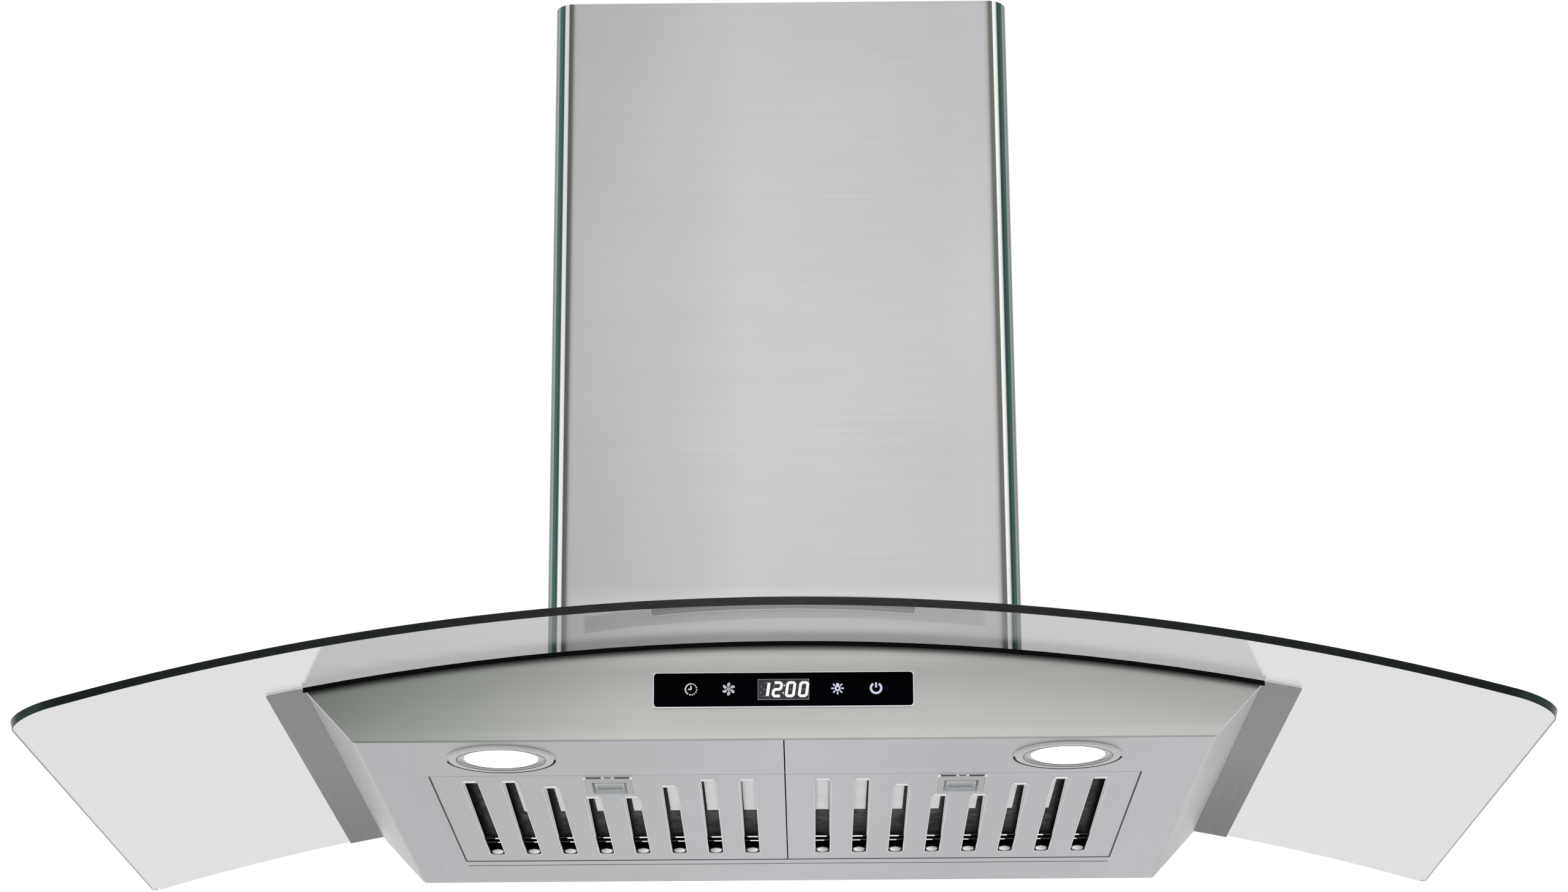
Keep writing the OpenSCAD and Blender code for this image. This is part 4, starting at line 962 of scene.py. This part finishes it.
def clock_digits(lit_finish, dark_finish, window_finish, frame_finish):
    """The window in its thin frame, its unlit bars, and the lit bars over them."""
    window = block("display_window", (-WINDOW_U * MM, -0.5 * MM, -WINDOW_V * MM),
                   (WINDOW_U * MM, 0.5 * MM, WINDOW_V * MM))
    pick_edges(window, lambda a, b: abs(a.y - b.y) > 0.5 * MM)
    bpy.ops.mesh.bevel(offset=0.8 * MM, segments=4, affect="EDGES")
    close()
    press_flat(window, window_finish)
    edge = [(-WINDOW_U, -WINDOW_V), (WINDOW_U, -WINDOW_V), (WINDOW_U, WINDOW_V),
            (-WINDOW_U, WINDOW_V)]
    mark("display_frame", [(edge, True)], 0.34, frame_finish)
    on = [digit_path(place, DIGITS[digit]) for place, digit in enumerate("1200")]
    dots = [([(u - 0.1, v - 0.4), (u + 0.1, v + 0.4)], False, wide)
            for u, v, wide in ((0.5, 2.35, 0.42), (-0.15, -2.2, 0.5))]
    off = [digit_path(place, bar, 1.0) for place in range(4) for bar in UNLIT]
    for piece in (mark("lit_digits", on + dots, 0.92, lit_finish),
                  mark("unlit_digits", off, 0.25, dark_finish)):
        move(piece, (0, -MARK_T * 0.9, 0))


# Filters: rolled rims, pressed ends, rods, baffle blades and latch trim

FILTER_MID = 110.4 * MM
SLOT_FIRST = 23.775 * MM
SLOT_PITCH = 24.75 * MM
SLOT_HALF = 4.75 * MM
SLOT_BACK = -98.95 * MM
SLOT_FRONTS = (-312.6, -312.6, -296.6, -266.6, -266.6, -296.6, -312.6, -312.6)
RIM_R = 0.45 * MM
ROD_Y = -323.2 * MM
CHEEK_OUT = 14.6 * MM
PAD_HALF = 7.8 * MM
ROD_PLACES = (-134.5 * MM, -121.5 * MM)

# The middle and the front end of each slot, from the middle of the hood outwards
SLOTS = [(SLOT_FIRST + SLOT_PITCH * i, front * MM) for i, front in enumerate(SLOT_FRONTS)]

# How wide the lip beside each slot is in front, in millimetres, and where it ends
SIDE_LIPS = (0.6, 0.7, 0.8, 1.0, 1.7, 1.9, 1.8, 1.4)
SIDE_LIP_END = -150 * MM

# Where the blades end, and how far from the middle of the hood one would have no width
BLADE_END = -198 * MM
BLADES_OUT = 203 * MM


def slot_outline(x, front, grow, z):
    """The outline of a slot: square in front, round behind."""
    half = SLOT_HALF + grow
    back = ellipse(x, SLOT_BACK, half, half, z, range(17), 32)
    return back + [(x - half, front - grow, z), (x + half, front - grow, z)]


def slot_rims():
    """Rolled edges round the slots."""
    lines = [(slot_outline(x, front, RIM_R, BOTTOM), True) for x, front in SLOTS]
    return wires("right_slot_rims", lines, RIM_R)


def slot_ends():
    """A pressed dome that closes the back end of each slot."""
    first = ball("slot_end", (SLOT_FIRST, SLOT_BACK - 0.3 * MM, BOTTOM + 1.9 * MM),
                 (9.2 * MM, 8.8 * MM, 5.0 * MM), 28, 16)
    others = [copy_to(first, (x - SLOT_FIRST, 0, 0)) for x, _ in SLOTS[1:]]
    return fuse("right_slot_ends", [first] + others)


def cross_rods():
    """Two rods that tie the channels together, dark with painted shade."""
    low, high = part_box("right_filter_face")
    z = BOTTOM + 3.2 * MM
    lines = [([(low.x + MM, y, z), (high.x - MM, y, z)], False) for y in ROD_PLACES]
    return wires("right_cross_rods", lines, 0.5 * MM)


def rod_highlights():
    """Painted highlights: bright sleeves on the rods, at the side of each slot that is nearer the
    middle.
    """
    z = BOTTOM + 3.0 * MM
    lines = []
    for i, (x, _) in enumerate(SLOTS):
        inner = x - SLOT_HALF
        reach = (7.4 - 0.55 * i) * MM
        for y, part, wide in zip(ROD_PLACES, (1.0, 0.8), (1.25, 1.0)):
            ends = [(inner - 0.4 * MM, y, z), (inner + reach * part, y, z)]
            lines.append((ends, False, wide))
    return wires("right_rod_sleeves", lines, 0.62 * MM)


def front_lips():
    """A pressed lip across the front end of each slot, bright as a painted highlight."""
    lips = []
    half = SLOT_HALF - 0.6 * MM
    for x, front in SLOTS:
        lip = block("lip", (x - half, front - 4.4 * MM, BOTTOM - 0.25 * MM),
                    (x + half, front + 0.2 * MM, BOTTOM + 0.3 * MM))
        modify(lip, "BEVEL", width=0.2 * MM, segments=2)
        lips.append(lip)
    return fuse("right_front_lips", lips)


def side_lips():
    """A sloping lip down the outer side of each slot, narrowing to the rear."""
    lips = []
    for (x, front), wide in zip(SLOTS, SIDE_LIPS):
        x += SLOT_HALF
        lip = block("lip", (x - 0.3 * MM, front - 0.5 * MM, BOTTOM + 0.1 * MM),
                    (x + 0.1 * MM, SIDE_LIP_END, BOTTOM + 0.5 * MM))
        draw_out(lip, lambda middle, normal: normal.y < -0.9, (0, -0.01 * MM, 0))
        for corner in lip.data.vertices:
            if corner.co.y < front + MM and corner.co.x < x - 0.1 * MM:
                corner.co.x -= wide * MM
        lips.append(lip)
    return fuse("right_side_lips", lips)


def baffle_blades():
    """Bright blades under the front of each channel, set over towards the middle."""
    blades = []
    z = BOTTOM + 7.0 * MM
    for x, front in SLOTS:
        share = min(1.0, x / BLADES_OUT)
        edge = x - SLOT_HALF + 3.0 * MM * share
        start, end = edge - 0.7 * MM, edge + 2 * SLOT_HALF * (1 - share)
        if end - start < 1.0 * MM:
            continue
        blade = block("blade", (start, front - 4 * MM, z), (end, BLADE_END, z + 0.5 * MM))
        draw_out(blade, lambda middle, normal: normal.y > 0.9, (0, 2 * MM, 1.2 * MM))
        blades.append(blade)
    return fuse("right_baffle_blades", blades)


def latch_rod():
    """The knurled rod across the front of the latch, between two end cheeks."""
    y, z = ROD_Y, BOTTOM + 0.4 * MM
    rod = drum("latch_rod", (FILTER_MID, y, z), 1.1 * MM, 29 * MM, 20, (0, pi / 2, 0))
    slice_across(rod, 0, [FILTER_MID + 1.9 * i * MM for i in range(-6, 7)])
    pick_faces(rod, lambda middle, normal: abs(normal.x) < 0.5
               and abs(middle.x - FILTER_MID) < 3.6 * MM)
    bpy.ops.mesh.inset(thickness=0.1 * MM)
    bpy.ops.transform.shrink_fatten(value=-0.3 * MM)
    close()
    cheeks = []
    for side in (-1, 1):
        x = FILTER_MID + side * CHEEK_OUT
        cheek = block("cheek", (x - 0.8 * MM, y - 1.4 * MM, BOTTOM - 0.6 * MM),
                      (x + 0.8 * MM, y + 3.0 * MM, BOTTOM + 2 * MM))
        modify(cheek, "BEVEL", width=0.25 * MM, segments=2)
        cheeks.append(cheek)
    return fuse("right_latch_rod", [rod] + cheeks)


def finger_pad():
    """The ribbed pad in the slider's dish."""
    low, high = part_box("right_latch_slider")
    z = low.z + 0.5 * MM
    rear = high.y - 1.9 * MM
    pad = block("right_finger_pad", (FILTER_MID - PAD_HALF, rear - 12.2 * MM, z),
                (FILTER_MID + PAD_HALF, rear, z + 0.8 * MM))
    slice_across(pad, 1, [rear - i * MM for i in range(1, 12)])
    pick_faces(pad, lambda middle, normal: normal.z < -0.9)
    bpy.ops.mesh.inset(thickness=0.15 * MM, use_individual=True)
    bpy.ops.transform.translate(value=(0, 0, -0.2 * MM))
    close()
    return pad


def filters(rim, bright, pale, dull, lip):
    """Makes the trim of the right filter and its mirror image for the left one."""
    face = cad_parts["right_filter_face"].material_slots[0].material
    for piece, finish, smooth in ((slot_rims(), rim, 30), (slot_ends(), dome_finish(), 60),
                                  (cross_rods(), dull, 60), (rod_highlights(), bright, 60),
                                  (front_lips(), lip, 30), (side_lips(), face, 30),
                                  (baffle_blades(), pale, 30),
                                  (latch_rod(), rod_finish(), 40)):
        other = mirrored(piece, piece.name.replace("right", "left"))
        finish_piece(piece, finish, "right_filter", smooth=smooth)
        finish_piece(other, finish, "left_filter", smooth=smooth)
    pad = finger_pad()
    ribbed = latch_finish("ribbed_pad", (0.50, 0.51, 0.52), 30, 0.72)
    finish_piece(mirrored(pad, "left_finger_pad"), ribbed, "left_latch")
    finish_piece(pad, ribbed, "right_latch")


# Body trim

# Where the fold begins at the bottom, how far up it goes, and how far out it leans as it rises
FOLD_X = 257 * MM
FOLD_TOP = 31 * MM
LEAN = 31 / 33.8


def fascia_edges(finish):
    """Thin folded edges where the fascia meets the leaning sides."""
    y = FASCIA_Y + 0.3 * MM
    rises = (1.5 * MM, 10 * MM, 20 * MM, FOLD_TOP)
    lines = [([(side * (FOLD_X + LEAN * rise), y, BOTTOM + rise) for rise in rises], False)
             for side in (-1, 1)]
    finish_piece(wires("fascia_edges", lines, 0.35 * MM), finish)


# Stage, light and camera

# The camera fitted to the photograph: place in millimetres, then pitch, yaw and roll in degrees
CAMERA_AT = (13.858, -2519.475, -709.125)
CAMERA_TURN = (18.280, -0.346, -0.341)
FOCAL_PIXELS = 5895.368
PHOTO_WIDTH = 2558
SENSOR = 36.0

FLOOR_Z = -3.2
FLOOR_SIZE = 40.0
ROOM_LIGHT = 0.62
LAMP_SIZE = 2.6
LAMP_AIM = Vector((0, -0.2, 0))


def stage():
    """A plain pale floor that glass and steel mirror as white."""
    bpy.ops.mesh.primitive_plane_add(size=FLOOR_SIZE, location=(0, 0, FLOOR_Z))
    floor = named("floor")
    finish = Finish("pale_floor", (0.86, 0.86, 0.86), 0.8)
    finish.mottle(3, 0.99, 1.01)
    glow = finish.node("Emission", {"Color": WHITE, "Strength": 0.97}).outputs[0]
    parts = {0: finish.bounced(), 1: finish.shader.outputs[0], 2: glow}
    surface = finish.tree.nodes["Material Output"].inputs["Surface"]
    finish.put(surface, finish.node("MixShader", parts).outputs[0])
    floor.data.materials.append(finish.material)


def room():
    """White to the eye, to glass and to steel, and a plain level of light for the rest."""
    world = bpy.data.worlds.new("white_room")
    bpy.context.scene.world = world
    world.use_nodes = True
    nodes = Nodes(world.node_tree)
    camera_ray = nodes.node("LightPath").outputs["Is Camera Ray"]
    seen = nodes.maths("MAXIMUM", camera_ray, nodes.bounced())
    light = nodes.tree.nodes["Background"].inputs
    nodes.put(light["Strength"], nodes.span(seen, 0.0, 1.0, ROOM_LIGHT, 1.0))
    nodes.put(light["Color"], WHITE)


def softbox(name, place, power):
    """A large soft lamp that faces the hood."""
    light = bpy.data.lights.new(name, "AREA")
    light.shape = "DISK"
    light.size = LAMP_SIZE
    light.energy = power
    lamp = add(name, light)
    lamp.location = place
    lamp.rotation_euler = (LAMP_AIM - Vector(place)).to_track_quat("-Z", "Y").to_euler()


def camera():
    """The view of the photograph, from below and a little off the middle."""
    place = Vector(CAMERA_AT) * MM
    pitch, yaw, roll = (radians(angle) for angle in CAMERA_TURN)
    ahead = Vector((sin(yaw) * cos(pitch), cos(yaw) * cos(pitch),
                    sin(pitch)))
    flat = Vector((cos(yaw), -sin(yaw), 0))
    rise = flat.cross(ahead)
    right = flat * cos(roll) + rise * sin(roll)
    up = rise * cos(roll) - flat * sin(roll)
    data = bpy.data.cameras.new("photo_camera")
    data.sensor_width = SENSOR
    data.lens = FOCAL_PIXELS / PHOTO_WIDTH * SENSOR
    data.clip_end = 100.0
    made = add("photo_camera", data)
    turned = Matrix((right, up, -ahead)).transposed().to_4x4()
    made.matrix_world = Matrix.Translation(place) @ turned
    bpy.context.scene.camera = made


# The whole hood

def dress_solids():
    """Finishes for the solids that keep their shape."""
    dress(fascia_finish(), "front_fascia")
    dress(side_finish(), *both("side_panel"))
    # Painted shadow lines in the seams at the fascia, behind the filters and at the rear ledge
    dress(bottom_finish((FASCIA_Y + MM, 0.7 * MM, 0.75)).material, *both("lamp_panel"))
    dress(bottom_finish((FILTER_REAR, 1.2 * MM, 0.04), (LEDGE_GAP, 1.3 * MM, 0.2)).material,
          "rear_panel", "rear_ledge")
    dress(filter_finish(), *both("filter_face"))
    dress(cover_finish(), "chimney_lower", "chimney_upper")
    dress(zinc("zinc_sheet", (0.44, 0.45, 0.46)).material, "front_rail", "body_back",
          "wall_plate", "blower_box", "chimney_bracket", "cover_brackets", "motor_bracket")
    dress(zinc("bright_deck", (0.62, 0.63, 0.63)).material, "top_deck")
    dress(baffle_finish(), *both("filter_baffle"))
    dress(rubber_finish(), "glass_gasket", "glass_washers")
    dress(bezel_finish(), "control_bezel")
    dress(touch_glass_finish(), "control_glass")
    dress(moulded("smoked_window", (0.05, 0.055, 0.055), 0.2), "clock_display")
    dress(board_finish(), "touch_board")
    dress(smooth_metal("satin_nickel", (0.46, 0.46, 0.465), 0.28), *both("lamp_ring"))
    dress(smooth_metal("cast_aluminium", (0.58, 0.58, 0.59), 0.5, 500, mottle=0.08),
          *both("lamp_can", "damper_flap"))
    bright = smooth_metal("bright_zinc", (0.66, 0.66, 0.67), 0.22)
    dress(bright, "glass_screws", "cover_screws", "lamp_clips", "fan_shaft",
          *both("latch_spring"))
    dress(moulded("off_white_plastic", (0.74, 0.74, 0.70), 0.5), "lamp_driver", "capacitor")
    dress(moulded("black_plastic", (0.022, 0.022, 0.024), 0.48), "control_box",
          "junction_box", "cable_gland", "duct_collar")
    dress(latch_finish("silver_plastic", (0.47, 0.49, 0.50), 10.4, 1.0), *both("latch_body"))
    dress(latch_finish("silver_slider", (0.54, 0.55, 0.56), 9.7, 0.70), *both("latch_slider"))
    dress(moulded("black_enamel", (0.02, 0.02, 0.022), 0.32, 700, 0.12), "blower_scroll",
          "inlet_rings", "impeller")
    dress(moulded("grey_motor_paint", (0.16, 0.17, 0.18), 0.40, 800, 0.15), "fan_motor")
    return bright


def controls():
    """The four symbols and the clock, each at its place across the touch glass."""
    white = lit("white_digit", (1.0, 1.0, 1.0), 0.95)
    dim = lit("grey_symbol", (0.50, 0.51, 0.53), 0.95)
    pale = lit("pale_symbol", (0.62, 0.63, 0.64), 1.0)
    blue = lit("blue_white_symbol", (0.60, 0.63, 0.80), 1.0)
    level = 0.4
    clock_symbol((-55.3, level), pale)
    fan_symbol((-32.8, level), dim)
    lamp_symbol((32.4, level), blue)
    power_symbol((55.4, level), blue)
    # The unlit segments, the window and its frame glow as painted light; they are no lamps
    clock_digits(white, lit("unlit_segment_painted_glow", (0.13, 0.13, 0.14), 1.0),
                 lit("display_window_painted_glow", (0.016, 0.016, 0.022), 1.0),
                 lit("window_frame_painted_glow", (0.30, 0.30, 0.32), 1.0))


bright_finish = dress_solids()
glass_canopy(glass_finish(), glass_edge_finish())
lens_finish = lit("lit_frosted_lens", (1.0, 0.99, 0.96), 1.15, 700, 0.8)
for side in ("left", "right"):
    lens(side, lens_finish)
shadow = moulded("shadow_black", (0.012, 0.012, 0.012), 0.7)
for side in ("left", "right"):
    ring_line(side, shadow)
gap_lines(shadow)
controls()
# Painted highlights on the rod sleeves and the front lips, and painted shade on the near black
# rods
filters(smooth_metal("rolled_rim", (0.62, 0.62, 0.63), 0.25),
        smooth_metal("bright_pressing", (0.86, 0.86, 0.87), 0.16),
        smooth_metal("pale_blade", (0.68, 0.68, 0.70), 0.35),
        smooth_metal("rod_painted_shade", (0.08, 0.08, 0.085), 0.5),
        smooth_metal("bright_lip", (0.95, 0.95, 0.96), 0.45))
fascia_edges(bright_finish)

stage()
room()
softbox("key_light", (2.6, -3.4, 1.6), 34)
softbox("fill_light", (-3.2, -2.6, 0.6), 16)
camera()

bpy.context.scene.view_settings.view_transform = "Standard"

bpy.context.view_layer.update()
